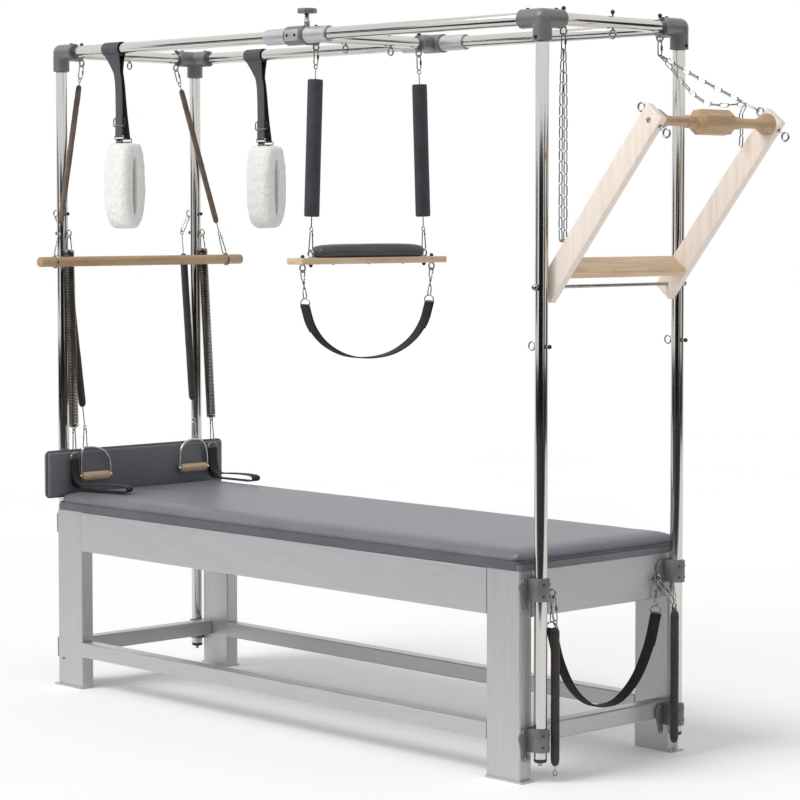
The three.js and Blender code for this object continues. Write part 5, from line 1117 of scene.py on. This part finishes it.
# %% Roll-down bar
BODY = "roll_down"
ROLL_X, ROLL_Z = -1057.5, 1450
dowel = rod(at(ROLL_X, -441.5, ROLL_Z), at(ROLL_X, 441.5, ROLL_Z), 17, 3, 56)
keep(dowel, "roll_down_dowel", wood_handle, BODY, "pale_wood", "roll_down_bar")
for side, word in SIDES:
    top, foot = at(-POST_X, side * EYE_Y, 2121.4), at(ROLL_X, side * 375, ROLL_Z)
    turn, long = lean(top, foot), (foot - top).length / MM
    slope = long / 671.4
    low = long - 20.95 - 72 + 4 + 0.3
    start = along(top, foot, LINK_REACH)
    metal = spring_metal(low - LINK_REACH, 2.8)
    cloth = sleeve(20, 68.4 * slope - LINK_REACH, 543.4 * slope - LINK_REACH, low - LINK_REACH)
    keep(moved(cloth, stand(start, turn)), f"roll_down_sleeve_{word}", sleeve_brown, BODY,
         "spring_sleeve", f"roll_down_spring_{word}")
    clip = moved(carabiner(72), stand(along(top, foot, low), turn))
    ring = wire(arc((0, 0), 20.3, 0, 360, 40)[:-1], 5.5, True)
    moved(ring, stand(foot) @ about("Z"))
    bright(joined(moved(metal, stand(start, turn)), hung(link_template, top, turn), clip, ring),
           f"roll_down_hardware_{word}", BODY)

# %% [markdown]
# ## Arm springs
#
# The arm springs hang from carabiners on the outside of the head uprights and carry the handles.
# Their sleeves are dark stretch cloth, gathered at both ends over the spring's wire eyes.

# %% Arm springs
for side, word in SIDES:
    BODY = f"{word}_arm_spring"
    top, foot = at(-1166.3, side * 260.5, 1549.07), at(-1078, side * 240, 875)
    turn, long = lean(top, foot), (foot - top).length / MM
    slope = long / 674.07
    cloth = sleeve(26, 78.07 * slope, 600.07 * slope, long)
    keep(moved(cloth, stand(top, turn)), f"arm_sleeve_{word}", sleeve_dark, BODY, "spring_sleeve",
         f"arm_spring_{word}")
    bright(moved(spring_metal(long, 7.4), stand(top, turn)), f"arm_spring_eyes_{word}", BODY)

# %% [markdown]
# ## Handles
#
# Each handle is a bent-wire frame with a round top on a carabiner, and a turned birch grip that
# spins on a pin between the wire's ends.

# %% Handles
for side, word, middle in ((NEAR, "near", -196), (FAR, "far", 237)):
    BODY = f"{word}_handle"
    crown = side * 240
    left, right = middle - 63, middle + 63
    rise = [(0, 0), (0, 0.25), (0.03, 0.48), (0.14, 0.72), (0.38, 0.9), (0.7, 0.985), (1, 1)]
    points = [at(-1078, left + (crown - left) * s, 711 + 100 * h) for s, h in rise]
    points += [at(-1078, right + (crown - right) * s, 711 + 100 * h) for s, h in rise[-2::-1]]
    bow = wire([tuple(p / MM) for p in rounded_line(points, 72)], 7, False, 5)
    ends = [moved(turned([[2, -5.5], [6, -5], [7.4, -2], [7.4, 2], [6, 5], [2, 5.5]], 28),
                  stand(at(-1078, y, 711)) @ about("X"))
            for y in (left, right)]
    hook = moved(carabiner(71.5), stand(at(-1078, crown, 875)))
    keep(joined(bow, *ends, hook), f"handle_frame_{word}", bright_steel, BODY, "zinc_wire",
         f"handle_{word}")
    grip = turned([[6, -57], [11, -56.4], [13.6, -53.5], [14.3, -48], [14.5, -25], [14.5, 25],
                   [14.3, 48], [13.6, 53.5], [11, 56.4], [6, 57]], 48)
    moved(grip, stand(at(-1078, middle, 711)) @ about("X"))
    keep(grip, f"grip_{word}", wood_across, f"{word}_grip", "pale_wood", f"handle_grip_{word}")

# %% [markdown]
# ## Leg springs
#
# These are bare: about 118 turns of oiled wire wound close, with the end turns drawn in to a cap.
# Each is one long helix swept round, which is how a spring winder makes it.

# %% Leg springs
TURNS, STEPS, COIL_WIRE, COIL_RADIUS = 118, 14, 4.4, 14.3
COIL_TOP, COIL_LONG = -50.8, 587.4
LEG_SPRINGS = (("near", NEAR, -284), ("far", FAR, 326))
HANG_X = -1079
coil_points = []
for i in range(TURNS * STEPS + 1):
    angle = 2 * math.pi * i / STEPS
    coil_points.append((COIL_RADIUS * math.cos(angle), COIL_RADIUS * math.sin(angle),
                        COIL_TOP - COIL_LONG * (i / (TURNS * STEPS))))
coil = wire(coil_points, COIL_WIRE, False, 2)
caps = joined(
    turned([[5, -51], [16.5, -50.8], [16.5, -44.5], [12, -40.5], [5, -40.2]], 36),
    turned([[5, -648.8], [12, -648.5], [16.5, -644.5], [16.5, -638.2], [5, -638]], 36),
    wire([(x, 0, z) for _, x, z in arc((0, -652.5), 7, 0, 360, 24)[:-1]], 4, True),
)
for word, side, low_y in LEG_SPRINGS:
    BODY = f"{word}_leg_spring"
    top, foot = at(-1091.3, side * POST_Y, 1530.5), at(HANG_X, low_y, 790)
    turn, long = lean(top, foot), (foot - top).length / MM
    keep(twin(coil, stand(top, turn)), f"leg_coil_{word}", spring_steel, BODY, "zinc_wire",
         f"leg_spring_{word}")
    upper = moved(carabiner(57, 22, 3.6), Matrix.Translation((0, 0, 0.01)))
    lower = moved(carabiner(long - 655 + 4, 22), Matrix.Translation((0, 0, -0.655)) @ about("Z"))
    bright(moved(joined(twin(caps), upper, lower), stand(top, turn)), f"leg_hardware_{word}", BODY)
drop(coil, caps)

# %% [markdown]
# ## Foot straps
#
# A loop of black webbing lies on the mat at the end of each leg spring. Both its ends come up
# together to a D ring; the loop itself is held open a little by the stiffness of the webbing.

# %% Foot straps
for (word, _, low_y), drift in zip(LEG_SPRINGS, (70, 9)):
    BODY = f"{word}_leg_spring"
    spot = stand(at(HANG_X, low_y, 770.9)) @ about("Z", math.atan2(drift, 232))
    outline = [(-2.4, 5), (-2.4, -40), (-2.6, -68), (2, -86), (14, -98), (34, -101.6), (90, -101.6),
               (160, -101.4), (210, -101.2), (224, -98), (230.5, -91), (224, -83.5), (208, -80.5),
               (160, -79.5), (90, -82), (46, -85), (26, -82), (12, -70), (4.6, -52), (2.4, -34),
               (2.4, 5)]
    line = rounded_line([Vector((x * MM, 0, z * MM)) for x, z in outline], 150)
    loop = strap(line, Vector((0, 1, 0)), STRAP_WIDE, 3)
    keep(moved(loop, spot), f"foot_strap_loop_{word}", webbing_black, BODY, "webbing",
         f"foot_strap_{word}")
    bow = moved(d_ring(46, 24, 4), spot @ Matrix.Translation((0, 0, 0.0035))
                @ about("Z"))
    bright(bow, f"foot_strap_ring_{word}", BODY)
    seam = [spot @ Vector((-0.0024, 0, z * MM)) for z in (-4, -20, -36)]
    across = (spot.to_3x3() @ Vector((0, 1, 0))).normalized()
    sewn(seam, across, f"foot_strap_seam_{word}", BODY, False)

# %% [markdown]
# ## Push-through bar
#
# Two birch planks turn on a steel rod through the foot uprights. A flat footrest joins them near
# the rod, and a turned bar with flared ends and an octagonal grip joins them at the free end.

# %% Push-through bar
BODY = "push_bar"
PUSH_TURN = facing("Y", PUSH_LEAN)
PIVOT_Z = 1407
PLANK_Y = 255.5
BAR_ALONG = 591
EYES_ALONG = 597


def on_push_bar(across, y, s):
    """A place on the bar: across the plank, from side to side, and along it from the pivot."""
    return at(POST_X + across * math.cos(PUSH_LEAN) + s * math.sin(PUSH_LEAN), y,
              PIVOT_Z - across * math.sin(PUSH_LEAN) + s * math.cos(PUSH_LEAN))


eyes = []
for side, word in SIDES:
    plank = board((70, 25, 655), on_push_bar(0, side * PLANK_Y, 295.5), 4, PUSH_TURN)
    keep(plank, f"push_plank_board_{word}", wood_planks, BODY, "pale_wood", f"push_plank_{word}")
    for across, reach, sign in ((-51, 16, -1), (65, 30, 1)):
        ring = wire(arc((0, 0), EYE_RADIUS, 0, 360, 30)[:-1], EYE_WIRE, True)
        moved(ring, about("Z"))
        flat = turned([[2.8, EYE_RADIUS - 1.5], [2.8, reach - 2], [7, reach - 1.6], [7, reach],
                       [2.8, reach + 0.3], [2.8, reach + 8]], 18)
        moved(flat, about("Y", -sign * QUARTER))
        eyes.append(moved(joined(ring, flat), stand(on_push_bar(across, side * PLANK_Y, EYES_ALONG),
                                                   PUSH_TURN)))
bright(joined(*eyes), "push_bar_eyes", BODY)
rest = board((70, 485.4, 22), on_push_bar(0, 0, 69), 4, PUSH_TURN)
keep(rest, "footrest_board", wood_across, BODY, "pale_wood", "push_footrest")

half = [[8, -268], [14, -267.4], [14, -244.2], [31, -243.8], [31, -231], [24, -216], [18, -202],
        [14.6, -192], [14, -186], [14, -112], [18, -108.5]]
handle = turned(half + [[r, -y] for r, y in half[::-1]], 56)
octagon = turned([[15, -86], [36.6, -61], [37, -59.5], [37, 59.5], [36.6, 61], [15, 86]], 8)
to_across = stand(on_push_bar(0, 0, BAR_ALONG), PUSH_TURN) @ about("X")
keep(moved(handle, to_across), "push_handle_bar", wood_handle, BODY, "pale_wood", "push_handle")
keep(moved(settle(octagon), to_across @ about("Z", QUARTER / 4)), "push_handle_grip", wood_handle,
     BODY, "pale_wood")
pivot = rod(on_push_bar(0, -329, 0), on_push_bar(0, 329, 0), 5, 0.6, 28)
nuts = []
for side in (NEAR, FAR):
    nut = turned([[5, -4.5], [8.4, -4.5], [9, -3.6], [9, 1.5], [6.5, 4.6], [3.5, 6.2]], 24)
    nuts.append(moved(nut, stand(on_push_bar(0, side * 321, 0))
                      @ about("X", -side * QUARTER)))
bright(joined(pivot, *nuts), "pivot_rod", BODY, "push_pivot_rod")
print("push-through bar made")

# %% [markdown]
# ## Chains
#
# The chains are welded steel: each link is a rounded wire loop turned a quarter from its
# neighbour. The near one hangs doubled from its quick link. The far one holds the push-through bar:
# one strand is pulled straight, the other sags, and the spare end hangs beside the plank.

# %% Chains
CHAIN_WIRE = 3.6
PITCH = 30


def chain(points):
    """Links along a line of places in metres."""
    stops = rounded_line(points, max(2, round(length_of(points) / MM / PITCH)))
    matrices = []
    for i, (p, q) in enumerate(zip(stops, stops[1:])):
        matrix = stand(p, lean(p, q)) @ about("Z", QUARTER * (i % 2))
        stretch = Matrix.Diagonal((1, 1, (q - p).length / MM / PITCH, 1))
        matrices.append(matrix @ stretch @ Matrix.Translation((0, 0, CHAIN_WIRE / 2 * MM)))
    return scattered(chain_link, matrices)


def below(origin, x, y, z):
    """A place given in millimetres from another."""
    return origin + Vector((x, y, z)) * MM


LINK_END = -44.9
SAG = 62
chain_link = wire(oval(PITCH + CHAIN_WIRE, 15, CHAIN_WIRE), CHAIN_WIRE, True, 1)
hook = at(POST_X, -EYE_Y, HOOK_Z)
low = -586.5
loop = [(0, -3.2, LINK_END), (0, -8, low / 4), (0, -9.4, low / 2), (0, -9.4, low + 12), (0, 0, low),
        (0, 9.4, low + 12), (0, 9.4, low / 2), (0, 8, low / 4), (0, 3.2, LINK_END)]
near_chain = chain([below(hook, *place) for place in loop])
bright(near_chain, "near_chain_links", FRAME, "chain_near")
bright(hung(link_template, hook), "near_chain_quick_link")

hook = at(POST_X, EYE_Y, HOOK_Z)
bright(hung(link_template, hook), "far_chain_quick_link")
start = below(hook, 0, 0, LINK_END)
eye = on_push_bar(-51, PLANK_Y, EYES_ALONG)
pull = (start - eye).normalized()
caught = eye + pull * 6.1 * MM
end = caught - pull * LINK_END * MM
clip = hung(link_template, caught, Vector((0, 0, -1)).rotation_difference(pull))
beside = end + Vector((0, -25, -25)) * MM
tail = chain([end + Vector((0, -6, -4)) * MM, beside, beside + Vector((3, 0, -50)) * MM,
              beside + Vector((0, 0, -100)) * MM])
bright(joined(clip, tail), "far_chain_tail", "push_bar")
middle = (start + end) / 2 + Vector((0, 0, -SAG)) * MM
spans = joined(chain([start, (start + end) / 2 + Vector((0, 0, -3)) * MM, end]),
               chain([below(start, 0, 3.2, 0), middle, end]))
spans.name = "far_chain_spans"
spans.data.materials.clear()
spans.data.materials.append(zinc)
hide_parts("chain_far")
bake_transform(spans)
print("chain links", PITCH, "mm pitch")
drop(chain_link)

# %% [markdown]
# ## Foot springs
#
# Two short springs in dark sleeves hang inside the foot uprights from the eyes in the foot rail,
# each on a tilted carabiner.

# %% Foot springs
for side, word, knee, foot in ((NEAR, "near", (1146, -251, 461), (1151, -255, 46)),
                               (FAR, "far", (1163, 247, 461), (1165, 245, 46))):
    BODY = f"{word}_foot_spring"
    hook, knee, foot = at(1115.3, side * 227, 528.5), at(*knee), at(*foot)
    clip = moved(quick_link((knee - hook).length / MM + 4, 22), stand(hook, lean(hook, knee)))
    long = (foot - knee).length / MM
    metal, cloth = spring_metal(long + 26, 2.8), sleeve(26, 18, long, long + 26)
    turn = lean(knee, foot)
    keep(moved(cloth, stand(knee, turn)), f"foot_sleeve_{word}", sleeve_dark, BODY, "spring_sleeve",
         f"foot_spring_{word}")
    bright(joined(moved(metal, stand(knee, turn)), clip), f"foot_spring_hardware_{word}", BODY)

# %% [markdown]
# ## Cushions
#
# Foam under vinyl: the cover pulls the foam's edges round and leaves the middle a little higher.
# Each cushion starts as a block, is remeshed evenly and then swells by an inward distance from
# its edge, with faint unevenness where the hands press. At last its cover fills out as cloth under
# pressure. A darker border runs round the foot of the mat, and stitches round the headboard's pad.

# %% Cushions


def block(size, low, high, corner, edge, voxel):
    """A box with rounded corners and edges, its surface remeshed evenly."""
    bpy.ops.mesh.primitive_cube_add(size=MM, scale=(size[0], size[1], high - low),
                                    location=(0, 0, (high + low) / 2 * MM))
    thing = bpy.context.object
    bpy.ops.object.transform_apply(location=True, rotation=False, scale=True)
    corners = thing.data.vertices
    for part in (*corners, *thing.data.polygons):
        part.select = False
    for edge_line in thing.data.edges:
        first, last = edge_line.vertices
        edge_line.select = abs((corners[first].co - corners[last].co).z) > 1e-6
    bpy.ops.object.mode_set(mode="EDIT")
    bpy.ops.mesh.select_mode(type="EDGE")
    bpy.ops.mesh.bevel(offset=corner * MM, segments=6, affect="EDGES")
    bpy.ops.object.mode_set(mode="OBJECT")
    soften(edge, 4)
    return applied(thing, "REMESH", mode="VOXEL", voxel_size=voxel * MM, use_smooth_shade=True)


def swollen(thing, size, rise, reach, belly=0.0, seed=0.0):
    """Swells the top of a block by rise, over reach from its edge, and its sides by belly."""
    mesh = thing.data
    places = np.empty(len(mesh.vertices) * 3)
    mesh.vertices.foreach_get("co", places)
    places = places.reshape(-1, 3)
    half = np.array(size[:2]) * MM / 2
    low, high = places[:, 2].min(), places[:, 2].max()
    inward = np.minimum(half[0] - abs(places[:, 0]), half[1] - abs(places[:, 1]))
    share = np.clip(inward / (reach * MM), 0, 1)
    height = (places[:, 2] - low) / (high - low)
    uneven = np.array([noise.noise(Vector((x * 9 + seed, y * 9, 3))) for x, y, _ in places])
    dome = np.sqrt(1 - (1 - share) ** 2)
    places[:, 2] += height * MM * (rise * dome + 0.9 * uneven * share)
    side = np.sin(np.clip(height, 0, 1) * math.pi) * belly * MM
    for k in (0, 1):
        near_side = half[k] - abs(places[:, k]) < 0.006
        places[:, k] += np.sign(places[:, k]) * side * near_side
    mesh.vertices.foreach_set("co", places.ravel())
    mesh.update()
    return applied(thing, "SMOOTH", factor=0.5, iterations=4)


PRESSURE = 4.0
LAST_FRAME = 20


def filled(thing, cap):
    """Lets the cover fill out as cloth under pressure, each point moving less than cap mm."""
    scene = bpy.context.scene
    before = np.array([list(v.co) for v in thing.data.vertices])
    pick(thing)
    filling = thing.modifiers.new("filling", "CLOTH")
    filling.settings.use_pressure = True
    filling.settings.uniform_pressure_force = PRESSURE
    filling.settings.effector_weights.gravity = 0
    filling.point_cache.frame_start = 1
    filling.point_cache.frame_end = LAST_FRAME
    for number in range(1, LAST_FRAME + 1):
        scene.frame_set(number)
    bpy.ops.object.modifier_apply(modifier=filling.name)
    scene.frame_set(1)
    after = np.array([list(v.co) for v in thing.data.vertices])
    move = after - before
    far = np.linalg.norm(move, axis=1, keepdims=True) / (cap * MM)
    held = before + move * np.tanh(far) / np.maximum(far, 1e-6)
    held[:, 2] = np.maximum(held[:, 2], before[:, 2].min())
    thing.data.vertices.foreach_set("co", held.ravel())
    thing.data.update()
    print(thing.name, "filled, moved at most", round(float(abs(held - before).max() / MM), 1), "mm")
    return thing


CORNER_STEPS = 8


def rounded_rectangle(size, corner, z):
    """The closed line round a rectangle with rounded corners, in millimetres."""
    points = []
    for (sx, sy), first in (((1, 1), 0), ((-1, 1), 1), ((-1, -1), 2), ((1, -1), 3)):
        middle = (sx * (size[0] / 2 - corner), sy * (size[1] / 2 - corner))
        for i in range(CORNER_STEPS + 1):
            a = (first + i / CORNER_STEPS) * QUARTER
            points.append((middle[0] + corner * math.cos(a), middle[1] + corner * math.sin(a), z))
    return points


def seam_stitches(size, corner, z, step):
    """Stitches along a rounded rectangle, each lying along it."""
    line = [Vector(p) * MM for p in rounded_rectangle(size, corner, z)]
    line.append(line[0])
    spots = evenly(line, round(length_of(line) / MM / step))
    matrices = []
    for p, q in zip(spots, spots[1:]):
        turn = Vector((1, 0, 0)).rotation_difference((q - p).normalized())
        matrices.append(stand((p + q) / 2, turn) @ Matrix.Diagonal((1.7, 1, 1, 1)))
    return scattered(stitch, matrices)


MAT_SIZE = (2178, 684)
BORDER_SIZE = (2185, 691)
mat = swollen(block(MAT_SIZE, 622.1, 640, 22, 2.5, 9), MAT_SIZE, 22.2, 62, 1.6)
mat.name = "mat_pad"
filled(mat, 1.8)
keep(moved(settle(mat), stand(at(0, 0, 0))), "mat_pad", vinyl, FRAME, "upholstery", "mat_cushion")
rim = [at(*place) for place in rounded_rectangle(BORDER_SIZE, 22, 617.6)]
border = strap([*rim, rim[0]], Vector((0, 0, 1)), 26, 2.4)
keep(border, "mat_border", vinyl_border, FRAME, "upholstery")

PAD_SIZE = (766, 152)
head_pad = swollen(block(PAD_SIZE, 0, 7, 4, 2.4, 2.4), PAD_SIZE, 2.4, 14, 0, 7)
to_head = stand(at(-1102.2, 0, 723)) @ TO_WALL
head_pad.name = "headboard_cushion"
filled(head_pad, 1.2)
keep(moved(settle(head_pad), to_head), "headboard_cushion", vinyl, FRAME, "upholstery",
     "headboard_pad")
lines = seam_stitches((PAD_SIZE[0] - 9, PAD_SIZE[1] - 9), 3, 8.3, 6)
keep(moved(lines, to_head), "headboard_stitches", thread_black, FRAME, "upholstery")

SEAT_SIZE = (70, 452)
seat = swollen(block(SEAT_SIZE, 1476.4, 1495, 25, 6, 4), SEAT_SIZE, 19, 36, 0.4, 13)
seat.name = "trapeze_pad"
filled(seat, 5.0)
applied(seat, "SUBSURF", levels=1, render_levels=1)
keep(moved(settle(seat), stand(at(BAR_X, 0, 0))), "trapeze_pad", vinyl_dark, "trapeze",
     "upholstery", "trapeze_cushion")

# %% [markdown]
# ## Fleece loops
#
# A choke of charcoal webbing wraps each long tube and runs down in two layers, through a slide
# buckle, to a pair of rings on a cuff of sheepskin. The cuff is a soft band folded round a slit.
# Its pile is raised in clumps over fine curls, so the outline is woolly as well as the surface.

# %% Fleece loops


CURVE_STEPS = 14


def cuff_outline():
    """The cuff seen along the tube: narrow at its neck, full below, as [y, z] in millimetres."""
    half, side = 139, 50
    neck = side * 0.62

    def curve(a, b, c):
        return [((1 - t) ** 2 * a[0] + 2 * t * (1 - t) * b[0] + t * t * c[0],
                 (1 - t) ** 2 * a[1] + 2 * t * (1 - t) * b[1] + t * t * c[1])
                for t in [i / CURVE_STEPS for i in range(CURVE_STEPS)]]

    return (curve((side, 0), (side, half * 0.7), (neck, half))
            + curve((neck, half), (0, half + 5), (-neck, half))
            + curve((-neck, half), (-side, half * 0.7), (-side, 0))
            + curve((-side, 0), (-side, -half), (0, -half))
            + curve((0, -half), (side, -half), (side, 0)))


def cuff():
    """The cuff without its pile, the slit through it along Y."""
    outline = cuff_outline()
    wall = plate(outline, 88, 0)
    crown = []
    for sign in (1, -1):
        for out, in_by in ((50, 3.5), (56, 9), (58.5, 17)):
            shrink = [(y * (1 - in_by / 48), z * (1 - in_by / 139)) for y, z in outline]
            layer = plate(shrink, 14, 0)
            crown.append(moved(layer, Matrix.Translation((0, 0, sign * (out - 7) * MM))))
    body = joined(wall, *crown)
    body = applied(body, "REMESH", mode="VOXEL", voxel_size=0.0034, use_smooth_shade=True)
    slit = plate([(8.5 * math.cos(a), 100 * math.sin(a))
                  for a in [2 * math.pi * i / 40 for i in range(40)]], 150, 0)
    applied(body, "BOOLEAN", object=slit, operation="DIFFERENCE", solver="EXACT")
    drop(slit)
    applied(body, "REMESH", mode="VOXEL", voxel_size=0.0034, use_smooth_shade=True)
    applied(body, "SMOOTH", factor=0.5, iterations=14)
    return moved(body, TO_WALL)


def woolly(thing, seed):
    """Raises clumps and curls of pile along the surface's own direction."""
    out = [v.normal.copy() for v in thing.data.vertices]
    for vertex, normal in zip(thing.data.vertices, out):
        spot = vertex.co + Vector((seed, 0, 0))
        clump = noise.noise(spot * 48)
        curl = noise.noise(spot * 170) + 0.6 * noise.noise(spot * 340)
        inner = abs(vertex.co.y) < 0.016 and abs(vertex.co.z) < 0.105
        vertex.co += normal * (1.6 + clump * 1.9 + curl * 1.9) * (0.3 if inner else 1.0) * MM
    thing.data.update()
    return thing


FRONT = [(-52, -12, 2142), (-40, -5, 2100), (-26, -4, 2048), (-20, -6, 1950), (-14, -10, 1866)]
BACK = [(-50, 12, 2142), (-34, 5, 2100), (-22, 5, 2048), (-14, 9, 1950), (-4, 14, 1858)]
TIP = [(-18.2, -9.4, 1935), (-16, -11, 1900), (-14, -13, 1868)]
TABS = ([(-14, -11, 1862), (-14, -10.6, 1852), (-13.5, -9, 1838)],
        [(-3, 14, 1852), (-3, 13, 1845), (-3.5, 10, 1834)])
cuff_template = cuff()
print("cuff faces", len(cuff_template.data.polygons))
for side, word, x in ((NEAR, "near", -780), (FAR, "far", -740)):
    BODY = f"{word}_fleece"
    y = side * POST_Y
    wool = woolly(twin(cuff_template), side * 3.0)
    keep(moved(settle(wool), stand(at(x, y, 1703.5))), f"fleece_cuff_{word}", fleece_pile, BODY,
         "fleece", f"fleece_loop_{word}")
    across = Vector((1, 0, 0))
    wraps = []
    for shift in (-74, -30):
        ring = [at(x + shift, y + p[1], 2160 + p[2]) for p in arc((0, 0), 21.6, -88, 268, 44)]
        wraps.append(strap(ring, across, 44, 2.2))
    front, back, tip = (rounded_line([at(x + dx, y + dy, z) for dx, dy, z in line], steps)
                        for line, steps in ((FRONT, 40), (BACK, 40), (TIP, 12)))
    spread = [80 - 44 * min(1, i / 9) for i in range(41)]
    front_band, back_band = strap(front, across, spread, 2.2), strap(back, across, spread, 2.2)
    keep(joined(front_band, *wraps, strap(tip, across, 36, 2)), f"fleece_strap_{word}",
         webbing_charcoal, BODY, "webbing")
    keep(back_band, f"fleece_back_strap_{word}", webbing_black, BODY, "webbing")
    tabs = [strap([at(x + dx, y + dy, z) for dx, dy, z in line], across, 34, 2.2) for line in TABS]
    keep(joined(*tabs), f"fleece_tabs_{word}", webbing_black, BODY, "webbing")
    slide = wire(rounded_rectangle((60, 26), 5, 0), 3.6, True, 2)
    moved(slide, stand(at(x - 17, y - 8, 1915)) @ about("X"))
    bar = rod(at(x - 46, y - 12.5, 1905), at(x + 12, y - 12.5, 1905), 2, 0.4, 16)
    rings = [moved(d_ring(52, 24, 4), stand(at(x + dx, y + dy, z)) @ about("X", math.pi))
             for dx, dy, z in ((-14, -11, 1871), (-3, 14, 1861))]
    bright(joined(bar, *rings), f"fleece_rings_{word}", BODY)
    keep(slide, f"fleece_slide_{word}", black_plastic, BODY, "webbing")
drop(cuff_template)

# %% [markdown]
# ## Sweep and cards
#
# The floor is white card, faintly mottled, and the world behind it is white. Both are brighter
# to the camera and to reflections than to the object, so the picture's ground is white while the
# lamps stay low. The cards stand where only reflections find them: tall ones give every polished
# tube its dark bands, and low ones and one on the floor darken the lower half of the uprights.

# %% Sweep
WORLD_STRENGTH = 0.5
FLOOR_LIFT = 0.12


def for_the_eye(owner, low, high):
    """A strength that is high to camera, glossy and transmission rays and low to all others."""
    rays = add_node(owner, "LightPath")
    shown, clear = (add_node(owner, "Math", {"operation": "MAXIMUM"}) for _ in range(2))
    level = add_node(owner, "MapRange", To_Min=low, To_Max=high)
    for start, end in ((rays.outputs["Is Camera Ray"], shown.inputs[0]),
                       (rays.outputs["Is Glossy Ray"], shown.inputs[1]),
                       (shown.outputs[0], clear.inputs[0]),
                       (rays.outputs["Is Transmission Ray"], clear.inputs[1]),
                       (clear.outputs[0], level.inputs["Value"])):
        owner.node_tree.links.new(start, end)
    return level.outputs["Result"]


def glows(owner, shader, low, high, colour="Color", strength="Strength"):
    """Lets a shader give white light of that strength."""
    shader.inputs[colour].default_value = (1, 1, 1, 1)
    owner.node_tree.links.new(for_the_eye(owner, low, high), shader.inputs[strength])


world = bpy.data.worlds.new("studio")
bpy.context.scene.world = world
world.use_nodes = True
glows(world, world.node_tree.nodes["Background"], WORLD_STRENGTH, 1.0)
paper = finish("floor_card", "f6f6f6", "f9f9f9", 0.85, scale=0.6, bump=0)
floor.data.materials.append(paper)
glows(paper, paper.node_tree.nodes["Principled BSDF"], 0.0, FLOOR_LIFT, "Emission Color",
      "Emission Strength")

# %% Cards
VIEW = math.atan2(camera.location.y, camera.location.x)


def card(name, tone, turn, far, height, size, tilt=QUARTER):
    """A card that reflections alone see: turned from the camera's side by an angle in degrees."""
    toward = VIEW + math.radians(turn)
    bpy.ops.mesh.primitive_plane_add(
        size=1, location=(far * math.cos(toward), far * math.sin(toward), height),
        rotation=(tilt, 0, toward + QUARTER),
    )
    sheet = bpy.context.object
    sheet.name = name
    sheet.scale = (*size, 1)
    sheet.data.materials.append(finish(name + "_paint", tone, tone, 0.9, bump=0))
    for ray in ("camera", "diffuse", "shadow", "transmission"):
        setattr(sheet, "visible_" + ray, False)


card("black_card", "080808", -13, 8.0, 2.1, (11.0, 4.2))
card("warm_card", "6b5f55", 40, 8.2, 2.1, (3.4, 4.2))
card("rail_card", "1c1a18", -94, 8.0, 2.4, (5.0, 2.0))
card("end_card", "26221f", 88, 8.0, 1.8, (5.0, 3.6))
card("left_skirt", "0c0b0a", -78, 7.9, 0.475, (12.0, 0.95))
card("right_skirt", "14110f", 58, 7.9, 0.475, (12.0, 0.95))
card("low_card", "0c0b0a", -math.degrees(0.23), 4.9, 0.003, (18.0, 6.0), 0)

# %% [markdown]
# ## Last step
#
# The templates have served, so they go.

# %% Last step
drop(link_template, clip_template, bolt_template, nut_template, *long_bolt, dome, grub, stitch)
